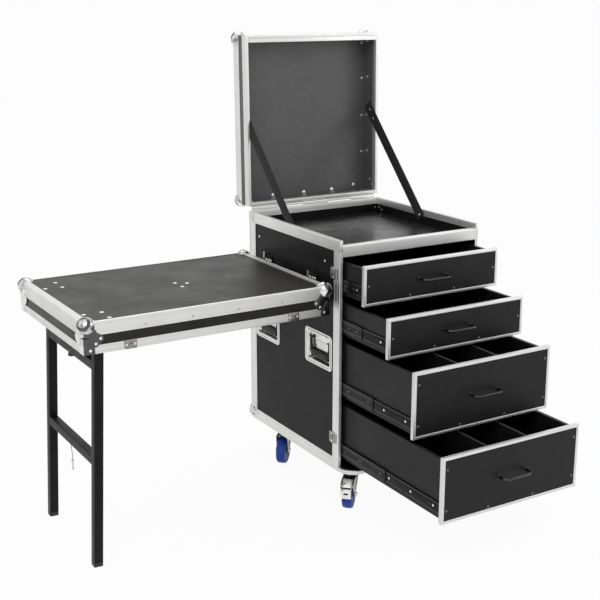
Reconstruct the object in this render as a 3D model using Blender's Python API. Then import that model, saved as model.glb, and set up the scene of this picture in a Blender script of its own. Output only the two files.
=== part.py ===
# Production case: a wheeled flight case with four drawers, a hinged lid and a front cover used as a side table.
# Metres, +Z up. The origin is the middle of the base board's underside, the drawers open toward -Y.
import math

import bpy
import bmesh
from mathutils import Matrix, Vector

# Running gap between pieces that touch, and how deep a slide member sits in the board that it is joined to
GAP = 0.0003
SUNK = 0.0005

# Case body
CASE_WIDTH = 0.600
CASE_DEPTH = 0.640
CASE_HEIGHT = 0.838
PANEL = 0.009
SKIN = 0.0015
BASE_BOARD = 0.012
LIP_REACH = 0.066
LIP_TRIM_HEIGHT = 0.0138
LIP_TRIM_FLANGE = 0.010
TRAY_DEPTH = 0.058
WORK_BOARD = 0.009
BEAM_DROP = 0.020
BEAM_HEIGHT = 0.040
BEAM_DEPTH = 0.022
BEAM_WALL = 0.002
TOP_RAIL = 0.040
BOTTOM_RAIL = 0.044
FRONT_PROFILE = 0.037
REAR_PROFILE = 0.049
BACK_PROFILE = 0.040

# Ball corners
BALL_RADIUS = 0.024
BALL_INSET = 0.012
CASE_BALL_HEIGHT = 0.030

# Lid, hinged behind and above the rear rim, leaning back a little when open
LID_THICKNESS = 0.100
LID_HINGE_OFFSET = 0.008
LID_LEAN = math.radians(1.15)
LID_EDGE_BAND = 0.044
LID_RIM_BAND = 0.028
LID_FACE_BAND = 0.026
RIM_FLANGE_DEPTH = 0.025
HINGE_END_MARGIN = 0.015
HINGE_KNUCKLES = 5
HINGE_LEAF_HEIGHT = 0.040
HINGE_BARREL_RADIUS = 0.0062
HINGE_PIN_RADIUS = 0.0022
HINGE_PIN_CLEARANCE = 0.0004
HINGE_NECK = 0.0033

# Webbing lid stays, from the tray rim to the lid's side walls
STAY_WIDTH = 0.048
STAY_THICKNESS = 0.0016
STAY_LOWER_INSET = 0.3059
STAY_LOWER_DROP = 0.023
STAY_TAIL = 0.014
STAY_UPPER_REACH = 0.0666
STAY_UPPER_RISE = 0.372

# Drawers, from the top one down: their shares of the height that the gaps leave, and the gap under each
DRAWER_SHARES = (0.1900, 0.1896, 0.3110, 0.3094)
DRAWER_GAPS = (0.0063, 0.0027, 0.0055, 0.0188)
DRAWER_TOP_GAP = 0.0063
DRAWER_OPEN_LENGTHS = (0.128, 0.2705, 0.417, 0.574)
DRAWER_DIVIDERS = (False, False, True, True)
DRAWER_FACE_GAP = 0.0015
DRAWER_BOARD = 0.012
DRAWER_WALL = 0.012
DRAWER_FLOOR = 0.009
DRAWER_REAR_ROOM = 0.055
DRAWER_TOP_DROP = 0.012
DRAWER_BOTTOM_RAISE = 0.012
TRIM_WALL = 0.0012
TRIM_FACE = 0.010
DIVIDER_WALL = 0.009
DIVIDER_PLACE = 0.0835
PULL_SPREAD = 0.112
PULL_REACH = 0.034
PULL_RADIUS = 0.005
PULL_BEND = 0.018

# Telescopic slides between a drawer's sides and the case panels
SLIDE_THICKNESS = 0.0127
SLIDE_HEIGHT = 0.045
SLIDE_SHEET = 0.0015
SLIDE_REAR_ROOM = 0.050
SLIDE_SETBACK = 0.020
SLIDE_RISE = 0.048
OUTER_LIP = 0.009
MID_WEB = 0.005
MID_LIP_END = 0.0115
INNER_START = 0.008

# Spring handles let into the side panels
DISH_LENGTH = 0.179
DISH_HEIGHT = 0.131
DISH_FLANGE = 0.016
DISH_SHEET = 0.0013
DISH_DEPTH = 0.0150
DISH_DRAFT = 0.004
DISH_FRONT_CLEARANCE = 0.0085
DISH_REAR_CLEARANCE = 0.0005
DISH_CENTRE_Z = 0.4215
BAIL_PIVOT_RISE = 0.030
BAIL_DROP = 0.052
BAIL_GRIP_RADIUS = 0.006
BAIL_WIRE_RADIUS = 0.0035
BAIL_GRIP_LENGTH = 0.112
BAIL_STRUT_PLACE = 0.060
BAIL_STRUT_HALF = 0.00315

# Front cover, hung on the left side as a table
TABLE_LENGTH = 0.877
TABLE_WIDTH = 0.604
TABLE_THICKNESS = 0.103
TABLE_GAP = 0.042
TABLE_CENTRE_Y = -0.023
TABLE_DROP = 0.1485
TABLE_EDGE_BAND = 0.044
TABLE_RIM_BAND = 0.028
TABLE_FACE_BAND = 0.026

# Hooks that carry the table on the left panel
HOOK_WIDTH = 0.060
HOOK_PLACES = (-0.121, 0.1945)
HOOK_SHEET = 0.003
HOOK_RISE = 0.0025
HOOK_LIP = 0.014

# Folding leg frame of the table
LEG_TUBE = 0.030
LEG_WALL = 0.0018
LEG_HEAD = 0.015
LEG_PIVOT_INSET = 0.055
LEG_PIVOT_DROP = 0.073
LEG_TILT = math.radians(2.9)
LEG_NEAR_INSET = 0.028
LEG_SPREAD = 0.424
TOP_BAR_DROP = 0.0765
MID_BAR_DROP = 0.389
LEG_PIN_RADIUS = 0.005
LEG_PIN_CLEARANCE = 0.0004
MOUNT_PLATE = 0.004
MOUNT_PLATE_WIDTH = 0.040
MOUNT_EAR = 0.004
MOUNT_EAR_ROOT = 0.016
MOUNT_EAR_WAIST = 0.012
MOUNT_EAR_TIP = 0.007

# Lanyard and locking pin that hang from the leg frame's middle bar
LANYARD_DIAMETER = 0.002
LANYARD_PLACE_Y = -0.054
LANYARD_ROUTE = ((0.0, 0.0, 0.0), (0.0, -0.0004, -0.008), (0.0002, -0.0018, -0.018), (0.0006, -0.0038, -0.028),
                 (0.0008, -0.0058, -0.038), (0.0006, -0.0076, -0.048), (0.0003, -0.0090, -0.058),
                 (0.0, -0.0095, -0.066))
LOCK_PIN_RADIUS = 0.003
LOCK_PIN_LENGTH = 0.030
LOCK_PIN_HEAD_RADIUS = 0.0045
LOCK_PIN_HEAD = 0.006

# Casters
CASTER_HEIGHT = 0.130
CASTER_SIDE_INSET = 0.054
CASTER_FRONT_REACH = 0.006
CASTER_REAR_INSET = 0.180
CASTER_TRAIL = 0.040
CASTER_HEADING = math.radians(-134.5)
CASTER_PLATE = 0.003
CASTER_PLATE_LENGTH = 0.090
CASTER_PLATE_WIDTH = 0.080
CASTER_PLATE_CHAMFER = 0.022
CASTER_HEAD_RADIUS = 0.034
CASTER_HEAD = 0.013
WHEEL_RADIUS = 0.052
WHEEL_WIDTH = 0.036
WHEEL_CROWN = 0.004
WHEEL_SIDES = 28
FORK_SHEET = 0.003
FORK_BACK = 0.0272
FORK_BRIDGE = 0.012
FORK_CLEARANCE = 0.0025
AXLE_RADIUS = 0.005
AXLE_CLEARANCE = 0.0004
AXLE_HEAD_RADIUS = 0.008
AXLE_HEAD = 0.005
PEDAL_WIDTH = 0.036
PEDAL_SHEET = 0.0025
PEDAL_PIVOT_RADIUS = 0.058
PEDAL_PIVOT_ANGLE = math.radians(50)
PEDAL_BARREL_RADIUS = 0.0042
PEDAL_ARM = (-0.018, 0.0160)
PEDAL_KNEE = (0.0225, -0.0104)
PEDAL_TIP = (0.0245, -0.0384)

# Places that follow from the sizes above
HALF_W = CASE_WIDTH / 2
FRONT = -CASE_DEPTH / 2
BACK = CASE_DEPTH / 2
PANEL_OUT = HALF_W - SKIN - GAP
PANEL_IN = PANEL_OUT - PANEL
RIM_IN = PANEL_IN - GAP - SKIN
WORK_TOP = CASE_HEIGHT - TRAY_DEPTH
BEAM_TOP = CASE_HEIGHT - BEAM_DROP
RIM_END = CASE_HEIGHT - RIM_FLANGE_DEPTH
BACK_PANEL_IN = BACK - SKIN - GAP - PANEL
HINGE_Y = BACK + LID_HINGE_OFFSET
HINGE_Z = CASE_HEIGHT + LID_HINGE_OFFSET
HINGE_HALF_LENGTH = HALF_W - HINGE_END_MARGIN
HINGE_KNUCKLE = 2 * HINGE_HALF_LENGTH / HINGE_KNUCKLES
STAY_LOWER_Y = BACK - STAY_LOWER_INSET
STAY_UPPER_Y = BACK + STAY_UPPER_REACH
STAY_UPPER_Z = CASE_HEIGHT + STAY_UPPER_RISE
BOX_HALF = PANEL_IN - SLIDE_THICKNESS
FRONT_HALF = RIM_IN - DRAWER_FACE_GAP
BOARD_FACE = TRIM_WALL + GAP
DRAWER_ROOM = BEAM_TOP - BEAM_HEIGHT - BASE_BOARD - DRAWER_TOP_GAP - sum(DRAWER_GAPS)
DRAWER_HEIGHTS = [share * DRAWER_ROOM for share in DRAWER_SHARES]
DRAWER_BOTTOMS = [BASE_BOARD + sum(DRAWER_GAPS[k:]) + sum(DRAWER_HEIGHTS[k + 1:])
                  for k in range(len(DRAWER_SHARES))]
DRAWER_LENGTH = CASE_DEPTH - DRAWER_REAR_ROOM
SLIDE_LENGTH = CASE_DEPTH - SLIDE_SETBACK - SLIDE_REAR_ROOM
DISH_CENTRES_Y = (FRONT + FRONT_PROFILE + DISH_FRONT_CLEARANCE + DISH_LENGTH / 2,
                  BACK - REAR_PROFILE - DISH_REAR_CLEARANCE - DISH_LENGTH / 2)
CASTER_X = HALF_W - CASTER_SIDE_INSET
CASTER_FRONT_Y = FRONT - CASTER_FRONT_REACH
CASTER_REAR_Y = BACK - CASTER_REAR_INSET
TABLE_TOP_Z = CASE_HEIGHT - TABLE_DROP
HOOK_TOP_Z = TABLE_TOP_Z + HOOK_RISE
HOOK_CENTRES_Y = [TABLE_CENTRE_Y + place for place in HOOK_PLACES]
TABLE_CENTRE_X = -HALF_W - TABLE_GAP - TABLE_LENGTH / 2
LEG_LENGTH = ((TABLE_TOP_Z - LEG_PIVOT_DROP + CASTER_HEIGHT - LEG_TUBE / 2 * math.sin(LEG_TILT))
              / math.cos(LEG_TILT))


def material(name, colour, roughness, metallic=0.0):
    """A Principled material of one colour."""
    made = bpy.data.materials.new(name)
    made.use_nodes = True
    shader = made.node_tree.nodes["Principled BSDF"]
    shader.inputs["Base Color"].default_value = (*colour, 1.0)
    shader.inputs["Roughness"].default_value = roughness
    shader.inputs["Metallic"].default_value = metallic
    made.diffuse_color = (*colour, 1.0)
    return made


# Shapes: each returns a closed mesh

def as_mesh(bm):
    bmesh.ops.recalc_face_normals(bm, faces=bm.faces)
    mesh = bpy.data.meshes.new("shape")
    bm.to_mesh(mesh)
    bm.free()
    return mesh


def box(x, y, z):
    """A box from three (low, high) pairs."""
    bm = bmesh.new()
    bmesh.ops.create_cube(bm, size=1.0)
    size = Vector((x[1] - x[0], y[1] - y[0], z[1] - z[0]))
    middle = Vector((x[1] + x[0], y[1] + y[0], z[1] + z[0])) / 2
    for vertex in bm.verts:
        vertex.co = Vector([a * b for a, b in zip(vertex.co, size)]) + middle
    return as_mesh(bm)


def prism(outline, axis, low, high):
    """An outline extruded along axis 'x', 'y' or 'z'; its points are the other two coordinates in order."""
    index = "xyz".index(axis)
    bm = bmesh.new()
    corners = []
    for point in outline:
        place = list(point)
        place.insert(index, low)
        corners.append(bm.verts.new(place))
    face = bm.faces.new(corners)
    moved = bmesh.ops.extrude_face_region(bm, geom=[face])["geom"]
    shift = Vector([high - low if k == index else 0.0 for k in range(3)])
    bmesh.ops.translate(bm, vec=shift, verts=[item for item in moved if isinstance(item, bmesh.types.BMVert)])
    return as_mesh(bm)


def cylinder(centre, axis, radius, low, high, sides=16):
    """A cylinder along axis, through centre (the other two coordinates)."""
    index = "xyz".index(axis)
    bm = bmesh.new()
    bmesh.ops.create_cone(bm, cap_ends=True, segments=sides, radius1=radius, radius2=radius, depth=high - low)
    turns = (Matrix.Rotation(math.pi / 2, 4, "Y"), Matrix.Rotation(-math.pi / 2, 4, "X"), Matrix.Identity(4))
    place = list(centre)
    place.insert(index, (low + high) / 2)
    bmesh.ops.transform(bm, matrix=Matrix.Translation(place) @ turns[index], verts=bm.verts)
    return as_mesh(bm)


def ball(centre, radius):
    bm = bmesh.new()
    bmesh.ops.create_uvsphere(bm, u_segments=14, v_segments=9, radius=radius)
    bmesh.ops.translate(bm, vec=centre, verts=bm.verts)
    return as_mesh(bm)


def ring_surface(loops, closed):
    """A surface through loops of equal length, closed round or capped at both ends."""
    bm = bmesh.new()
    rows = [[bm.verts.new(point) for point in loop] for loop in loops]
    pairs = list(zip(rows, rows[1:]))
    if closed:
        pairs.append((rows[-1], rows[0]))
    for a, b in pairs:
        for i in range(len(a)):
            j = (i + 1) % len(a)
            bm.faces.new((a[i], a[j], b[j], b[i]))
    if not closed:
        bm.faces.new(list(reversed(rows[0])))
        bm.faces.new(rows[-1])
    return as_mesh(bm)


def add_guide(mesh):
    guide = bpy.data.objects.new("guide", mesh)
    guide.hide_render = True
    guide.display_type = "WIRE"
    bpy.context.scene.collection.objects.link(guide)
    return guide


def combine(parts, cuts=()):
    """One mesh: the parts joined, then less the cuts."""
    base = add_guide(parts[0])
    guides = [base]
    groups = []
    for operation, meshes in (("UNION", parts[1:]), ("DIFFERENCE", cuts)):
        if not meshes:
            continue
        group = bpy.data.collections.new(operation)
        groups.append(group)
        for mesh in meshes:
            guide = add_guide(mesh)
            group.objects.link(guide)
            guides.append(guide)
        step = base.modifiers.new(operation, "BOOLEAN")
        step.operation = operation
        step.operand_type = "COLLECTION"
        step.collection = group
        step.solver = "EXACT"
    bpy.context.view_layer.update()
    depsgraph = bpy.context.evaluated_depsgraph_get()
    mesh = bpy.data.meshes.new_from_object(base.evaluated_get(depsgraph))
    for guide in guides:
        bpy.data.objects.remove(guide, do_unlink=True)
    for group in groups:
        bpy.data.collections.remove(group)
    return mesh


def tidy(mesh):
    """Merges doubled points and faces that lie in one plane."""
    bm = bmesh.new()
    bm.from_mesh(mesh)
    bmesh.ops.remove_doubles(bm, verts=bm.verts, dist=0.00001)
    bmesh.ops.dissolve_limit(bm, angle_limit=math.radians(0.2), verts=bm.verts, edges=bm.edges)
    bmesh.ops.triangulate(bm, faces=[face for face in bm.faces if len(face.verts) > 4])
    bm.to_mesh(mesh)
    bm.free()


def node(name, finish, parts, cuts=(), parent=None):
    """One sub-part, made in its parent's axes."""
    mesh = combine(parts, cuts) if len(parts) + len(cuts) > 1 else parts[0]
    tidy(mesh)
    mesh.name = name
    mesh.materials.clear()
    mesh.materials.append(finish)
    for face in mesh.polygons:
        face.material_index = 0
    mesh.shade_smooth()
    mesh.set_sharp_from_angle(angle=math.radians(35))
    made = bpy.data.objects.new(name, mesh)
    made.parent = parent
    bpy.context.scene.collection.objects.link(made)
    return made


def axis_empty(name, location, rotation=(0.0, 0.0, 0.0), parent=None):
    made = bpy.data.objects.new(name, None)
    made.location = location
    made.rotation_euler = rotation
    made.parent = parent
    bpy.context.scene.collection.objects.link(made)
    return made


def tube(name, finish, points, diameter, parent, resolution=2):
    """A round tube through points, with closed ends."""
    curve = bpy.data.curves.new(name, "CURVE")
    curve.dimensions = "3D"
    curve.bevel_depth = diameter / 2
    curve.bevel_resolution = resolution
    curve.use_fill_caps = True
    spline = curve.splines.new("POLY")
    spline.points.add(len(points) - 1)
    for slot, point in zip(spline.points, points):
        slot.co = (*point, 1.0)
    curve.materials.append(finish)
    made = bpy.data.objects.new(name, curve)
    made.parent = parent
    bpy.context.scene.collection.objects.link(made)
    return made


# Outlines

def lip_outline(inset):
    """The base board's outline with its round front corners, drawn in by an inset on the lip."""
    radius = LIP_REACH
    points = []
    for sign in (-1, 1):
        start = math.pi if sign < 0 else 1.5 * math.pi
        for step in range(7):
            angle = start + step * math.pi / 12
            centre_x = sign * (HALF_W - radius)
            points.append((centre_x + (radius - inset) * math.cos(angle),
                           FRONT + (radius - inset) * math.sin(angle)))
    return points


def caster_plate_outline():
    """A caster's top plate about its middle, with cut corners."""
    half_x, half_y = CASTER_PLATE_WIDTH / 2, CASTER_PLATE_LENGTH / 2
    cut = CASTER_PLATE_CHAMFER
    corner = ((half_x, half_y - cut), (half_x - cut, half_y))
    turned = [(-x, y) for x, y in reversed(corner)]
    upper = [*corner, *turned]
    return upper + [(-x, -y) for x, y in upper]


def rect_loop(low, high, inset, level, axis):
    """The corners of a rectangle drawn in by inset, at a level along axis."""
    corners = ((low[0] + inset, low[1] + inset), (high[0] - inset, low[1] + inset),
               (high[0] - inset, high[1] - inset), (low[0] + inset, high[1] - inset))
    index = "xyz".index(axis)
    loop = []
    for corner in corners:
        place = list(corner)
        place.insert(index, level)
        loop.append(place)
    return loop


def smooth_route(points, step):
    """Points a step apart along a smooth curve through the given points."""
    fine = []
    rows = [Vector(p) for p in points]
    rows = [2 * rows[0] - rows[1]] + rows + [2 * rows[-1] - rows[-2]]
    for a, b, c, d in zip(rows, rows[1:], rows[2:], rows[3:]):
        for k in range(8):
            t = k / 8
            fine.append(0.5 * (2 * b + (c - a) * t + (2 * a - 5 * b + 4 * c - d) * t * t
                               + (3 * b - a - 3 * c + d) * t * t * t))
    fine.append(rows[-2])
    total = sum((b - a).length for a, b in zip(fine, fine[1:]))
    count = max(2, round(total / step))
    route = [fine[0]]
    walked = 0.0
    for a, b in zip(fine, fine[1:]):
        walked += (b - a).length
        if walked >= total * len(route) / count and len(route) < count:
            route.append(b)
    route.append(fine[-1])
    return route


# Hollow covers: the lid and the table share one construction

def make_cover(prefix, materials, low, high, bands, to_axes, parent):
    """The laminated shell and the aluminium edge frame of a cover. Low and high are its corners, with its mouth at
    the low end of the third coordinate. Bands are the widths of the edge band, the rim band and the band on the
    outer face. to_axes turns (a, b, c) pairs into box arguments."""
    edge_band, rim_band, face_band = bands
    inset = SKIN + GAP
    outer_low = [a + inset for a in low]
    outer_high = [a - inset for a in high]
    inner_low = [outer_low[0] + PANEL, outer_low[1] + PANEL, low[2] - PANEL]
    inner_high = [a - PANEL for a in outer_high]

    def made(a, b):
        return box(*to_axes(*zip(a, b)))

    node(prefix + "_shell", materials["wood"], [made(outer_low, outer_high)], [made(inner_low, inner_high)], parent)

    rim, top = low[2], high[2]
    flange_end = rim + RIM_FLANGE_DEPTH
    inside = ((low[0] + SKIN, high[0] - SKIN), (low[1] + SKIN, high[1] - SKIN))
    cuts = [box(*to_axes(*inside, (flange_end, top - SKIN)))]
    wall = PANEL + 2 * GAP
    for k in (0, 1):
        for near in (low[k] + SKIN, high[k] - SKIN - wall):
            sides = list(inside)
            sides[k] = (near, near + wall)
            cuts.append(box(*to_axes(*sides, (rim + SKIN, flange_end + SKIN))))
    inset = SKIN + wall + SKIN
    cuts.append(box(*to_axes((low[0] + inset, high[0] - inset), (low[1] + inset, high[1] - inset),
                             (rim - SKIN, flange_end + SKIN))))
    cuts.append(box(*to_axes((low[0] + face_band, high[0] - face_band),
                             (low[1] + face_band, high[1] - face_band), (top - 2 * SKIN, top + SKIN))))
    window = (rim + rim_band, top - edge_band)
    clear = face_band + BALL_INSET
    cuts.append(box(*to_axes((low[0] + clear, high[0] - clear), (low[1] - SKIN, high[1] + SKIN), window)))
    cuts.append(box(*to_axes((low[0] - SKIN, high[0] + SKIN), (low[1] + clear, high[1] - clear), window)))
    parts = [made(low, high)]
    for a in (low[0] + BALL_INSET, high[0] - BALL_INSET):
        for b in (low[1] + BALL_INSET, high[1] - BALL_INSET):
            x, y, z = to_axes((a, a), (b, b), (top - BALL_INSET,) * 2)
            parts.append(ball((x[0], y[0], z[0]), BALL_RADIUS))
    node(prefix + "_edge_frame", materials["alu"], parts, cuts, parent)


# Sub-parts of the case body

def dish_rectangle(centre_y, inset):
    """The (low, high) corners in Y and Z of a handle dish drawn in by an inset."""
    half_length = DISH_LENGTH / 2 - inset
    half_height = DISH_HEIGHT / 2 - inset
    return ((centre_y - half_length, DISH_CENTRE_Z - half_height),
            (centre_y + half_length, DISH_CENTRE_Z + half_height))


def make_base(wood):
    outline = lip_outline(SKIN + GAP) + [(PANEL_OUT, BACK - SKIN - GAP), (-PANEL_OUT, BACK - SKIN - GAP)]
    parts = [prism(outline, "z", 0.0, BASE_BOARD)]
    for side in (-1, 1):
        for y in (CASTER_FRONT_Y, CASTER_REAR_Y):
            plate = [(side * CASTER_X + dx, y + dy) for dx, dy in caster_plate_outline()]
            parts.append(prism(plate, "z", -CASTER_PLATE, GAP))
    return node("base_board", wood, parts)


def make_lip_trim(alu):
    loops = []
    section = ((0.0, 0.0), (SKIN, 0.0), (SKIN, LIP_TRIM_HEIGHT - SKIN), (LIP_TRIM_FLANGE, LIP_TRIM_HEIGHT - SKIN),
               (LIP_TRIM_FLANGE, LIP_TRIM_HEIGHT), (0.0, LIP_TRIM_HEIGHT))
    rows = [[(*point, height) for point in lip_outline(inset)] for inset, height in section]
    for k in range(len(rows[0])):
        loops.append([row[k] for row in rows])
    for k, loop in ((0, loops[0]), (-1, loops[-1])):
        loops[k] = [(x, min(y, FRONT - GAP), z) for x, y, z in loop]
    return node("base_lip_trim", alu, [ring_surface(loops, closed=False)])


def slide_outline(side, near, far, lip_end, half_height, sheet, centre_z):
    """A C-section, seen along Y: its web from near to far, its lips reaching to lip_end from the panel."""
    points = ((near, -half_height), (lip_end, -half_height), (lip_end, -half_height + sheet),
              (far, -half_height + sheet), (far, half_height - sheet), (lip_end, half_height - sheet),
              (lip_end, half_height), (near, half_height))
    return [(side * (PANEL_IN - depth), centre_z + height) for depth, height in points]


def make_side_panel(side, wood):
    name = "left_side_panel" if side < 0 else "right_side_panel"
    span_x = sorted((side * PANEL_OUT, side * PANEL_IN))
    parts = [box(span_x, (FRONT + SKIN + GAP, BACK - SKIN - GAP),
                 (BASE_BOARD + GAP, CASE_HEIGHT - SKIN - GAP))]
    for bottom in DRAWER_BOTTOMS:
        outline = slide_outline(side, -SUNK, SLIDE_SHEET, OUTER_LIP, SLIDE_HEIGHT / 2, SLIDE_SHEET,
                                bottom + SLIDE_RISE)
        start = FRONT + SLIDE_SETBACK
        parts.append(prism(outline, "y", start, start + SLIDE_LENGTH))
    cuts = []
    for centre_y in DISH_CENTRES_Y:
        low, high = dish_rectangle(centre_y, DISH_FLANGE - DISH_SHEET - GAP)
        cuts.append(box(sorted((side * (PANEL_IN - PANEL), side * (PANEL_OUT + PANEL))),
                        (low[0], high[0]), (low[1], high[1])))
    return node(name, wood, parts, cuts)


def make_back_panel(wood):
    reach = PANEL_IN - GAP
    return node("back_panel", wood, [box((-reach, reach), (BACK_PANEL_IN, BACK - SKIN - GAP),
                                         (BASE_BOARD + GAP, CASE_HEIGHT - SKIN - GAP))])


def make_work_surface(wood):
    reach = PANEL_IN - GAP
    return node("work_surface", wood, [box((-reach, reach), (FRONT + BEAM_DEPTH + GAP, BACK_PANEL_IN - GAP),
                                           (WORK_TOP - WORK_BOARD, WORK_TOP))])


def make_crossbeam(alu):
    front, rear = FRONT, FRONT + BEAM_DEPTH
    low, high = BEAM_TOP - BEAM_HEIGHT, BEAM_TOP
    outline = ((front, low), (rear, low), (rear, low + BEAM_WALL), (front + BEAM_WALL, low + BEAM_WALL),
               (front + BEAM_WALL, high - BEAM_WALL), (rear, high - BEAM_WALL), (rear, high), (front, high))
    reach = RIM_IN - GAP
    return node("front_crossbeam", alu, [prism(outline, "x", -reach, reach)])


def make_case_frame(alu):
    wide = HALF_W + SKIN
    parts = [box((-HALF_W, HALF_W), (FRONT, BACK), (0.0, CASE_HEIGHT))]
    for side in (-1, 1):
        parts.append(ball((side * (HALF_W - BALL_INSET), BACK - BALL_INSET, CASE_BALL_HEIGHT), BALL_RADIUS))
    cuts = []
    slot_z = (-PANEL, CASE_HEIGHT - SKIN)
    for side in (-1, 1):
        cuts.append(box(sorted((side * (PANEL_IN - GAP), side * (HALF_W - SKIN))), (FRONT + SKIN, BACK - SKIN),
                        slot_z))
    cuts.append(box((-HALF_W + SKIN, HALF_W - SKIN), (BACK_PANEL_IN - GAP, BACK - SKIN), slot_z))
    cuts.append(box((-PANEL_IN, PANEL_IN), (FRONT + SKIN, BACK_PANEL_IN), (-PANEL, RIM_END)))
    cuts.append(box((-RIM_IN, RIM_IN), (FRONT - SKIN, BACK_PANEL_IN - GAP - SKIN),
                    (RIM_END - SKIN, CASE_HEIGHT + SKIN)))
    cuts.append(box((-RIM_IN, RIM_IN), (FRONT - SKIN, FRONT + 2 * SKIN), (-PANEL, RIM_END)))
    cuts.append(box((-HALF_W + SKIN, HALF_W - SKIN), (FRONT - SKIN, FRONT + 2 * SKIN), (-PANEL, BASE_BOARD + GAP)))
    cuts.append(box((-wide, wide), (FRONT + FRONT_PROFILE, BACK - REAR_PROFILE),
                    (BOTTOM_RAIL, CASE_HEIGHT - TOP_RAIL)))
    cuts.append(box((-HALF_W + BACK_PROFILE, HALF_W - BACK_PROFILE), (BACK_PANEL_IN, BACK + SKIN),
                    (BOTTOM_RAIL, CASE_HEIGHT - TOP_RAIL)))
    return node("case_edge_frame", alu, parts, cuts)


def make_dish(name, side, centre_y, zinc):
    """A pressed dish: a flange on the panel's face and a tapered bowl behind it."""
    face = PANEL_OUT + GAP
    section = ((DISH_FLANGE + DISH_DRAFT + DISH_SHEET, -DISH_DEPTH + DISH_SHEET), (DISH_FLANGE, DISH_SHEET),
               (0.0, DISH_SHEET), (0.0, 0.0), (DISH_FLANGE - DISH_SHEET, 0.0),
               (DISH_FLANGE + DISH_DRAFT, -DISH_DEPTH))
    loops = []
    for inset, rise in section:
        low, high = dish_rectangle(centre_y, inset)
        loops.append(rect_loop(low, high, 0.0, side * (face + rise), "x"))
    return node(name, zinc, [ring_surface(loops, closed=False)])


def make_bail(name, side, centre_y, black):
    """A handle bail on its pivot: two struts and a grip, hanging in the dish."""
    depth = PANEL_OUT - (DISH_DEPTH - DISH_SHEET) / 2
    pivot = axis_empty(name + "_pivot", (side * depth, centre_y, DISH_CENTRE_Z + BAIL_PIVOT_RISE))
    half = BAIL_GRIP_LENGTH / 2
    share = (PANEL_OUT - depth + BAIL_WIRE_RADIUS + DISH_SHEET) / DISH_DEPTH
    end = DISH_LENGTH / 2 - DISH_FLANGE - share * (DISH_DRAFT + DISH_SHEET) - GAP
    parts = [cylinder((0.0, -BAIL_DROP), "y", BAIL_GRIP_RADIUS, -half, half, 10)]
    for sign in (-1, 1):
        place = sign * BAIL_STRUT_PLACE
        inner = sign * (half - BAIL_WIRE_RADIUS)
        parts.append(cylinder((0.0, 0.0), "y", BAIL_WIRE_RADIUS, *sorted((inner, sign * end)), 8))
        parts.append(box((-BAIL_STRUT_HALF, BAIL_STRUT_HALF), sorted((inner, place)),
                         (-BAIL_DROP - BAIL_STRUT_HALF, BAIL_STRUT_HALF)))
    return node(name, black, parts, (), pivot)


def make_hook(name, centre_y, steel):
    """A J-shaped bracket on the left panel that carries the table's side wall."""
    x = -PANEL_OUT - GAP
    low_wall = TABLE_CENTRE_X + TABLE_LENGTH / 2
    floor = TABLE_TOP_Z - TABLE_THICKNESS - GAP
    lip = low_wall - 2 * SKIN - PANEL - 3 * GAP
    outline = ((x, HOOK_TOP_Z), (x - HOOK_SHEET, HOOK_TOP_Z), (x - HOOK_SHEET, floor), (lip, floor),
               (lip, floor + HOOK_LIP), (lip - HOOK_SHEET, floor + HOOK_LIP), (lip - HOOK_SHEET, floor - HOOK_SHEET),
               (x, floor - HOOK_SHEET))
    return node(name, steel, [prism(outline, "y", centre_y - HOOK_WIDTH / 2, centre_y + HOOK_WIDTH / 2)])


# The lid and its hinge

def knuckle_spans():
    """X spans of the hinge knuckles, the case's and the lid's in turn."""
    spans = []
    for k in range(HINGE_KNUCKLES):
        low = -HINGE_HALF_LENGTH + k * HINGE_KNUCKLE
        spans.append((low + GAP / 2, low + HINGE_KNUCKLE - GAP / 2))
    return spans[0::2], spans[1::2]


def make_case_hinge(steel):
    own, _ = knuckle_spans()
    near = BACK + GAP
    parts = [box((-HINGE_HALF_LENGTH, HINGE_HALF_LENGTH), (near, near + SKIN),
                 (CASE_HEIGHT - HINGE_LEAF_HEIGHT, CASE_HEIGHT))]
    for low, high in own:
        parts.append(box((low, high), (near, near + HINGE_NECK), (CASE_HEIGHT - SKIN, HINGE_Z)))
        parts.append(cylinder((HINGE_Y, HINGE_Z), "x", HINGE_BARREL_RADIUS, low, high, 14))
    reach = HINGE_HALF_LENGTH + SKIN
    bore = cylinder((HINGE_Y, HINGE_Z), "x", HINGE_PIN_RADIUS + HINGE_PIN_CLEARANCE, -reach, reach, 10)
    return node("hinge_leaf_case", steel, parts, [bore])


def make_lid(materials):
    hinge = axis_empty("lid_hinge_axis", (0.0, HINGE_Y, HINGE_Z), (-LID_LEAN, 0.0, 0.0))
    low = (-HALF_W, LID_HINGE_OFFSET, -LID_HINGE_OFFSET + GAP)
    high = (HALF_W, LID_HINGE_OFFSET + CASE_DEPTH, LID_THICKNESS - LID_HINGE_OFFSET)

    def to_axes(a, b, c):
        return a, c, b

    make_cover("lid", materials, low, high, (LID_EDGE_BAND, LID_RIM_BAND, LID_FACE_BAND), to_axes, hinge)
    _, own = knuckle_spans()
    far = LID_HINGE_OFFSET - GAP
    parts = [box((-HINGE_HALF_LENGTH, HINGE_HALF_LENGTH), (LID_HINGE_OFFSET, HINGE_LEAF_HEIGHT), (far - SKIN, far))]
    for span in own:
        parts.append(box(span, (0.0, LID_HINGE_OFFSET + SKIN), (far - HINGE_NECK, far)))
        parts.append(cylinder((0.0, 0.0), "x", HINGE_BARREL_RADIUS, *span, 14))
    parts.append(cylinder((0.0, 0.0), "x", HINGE_PIN_RADIUS, -HINGE_HALF_LENGTH, HINGE_HALF_LENGTH, 10))
    node("lid_hinge_leaf", materials["zinc"], parts, (), hinge)


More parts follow.
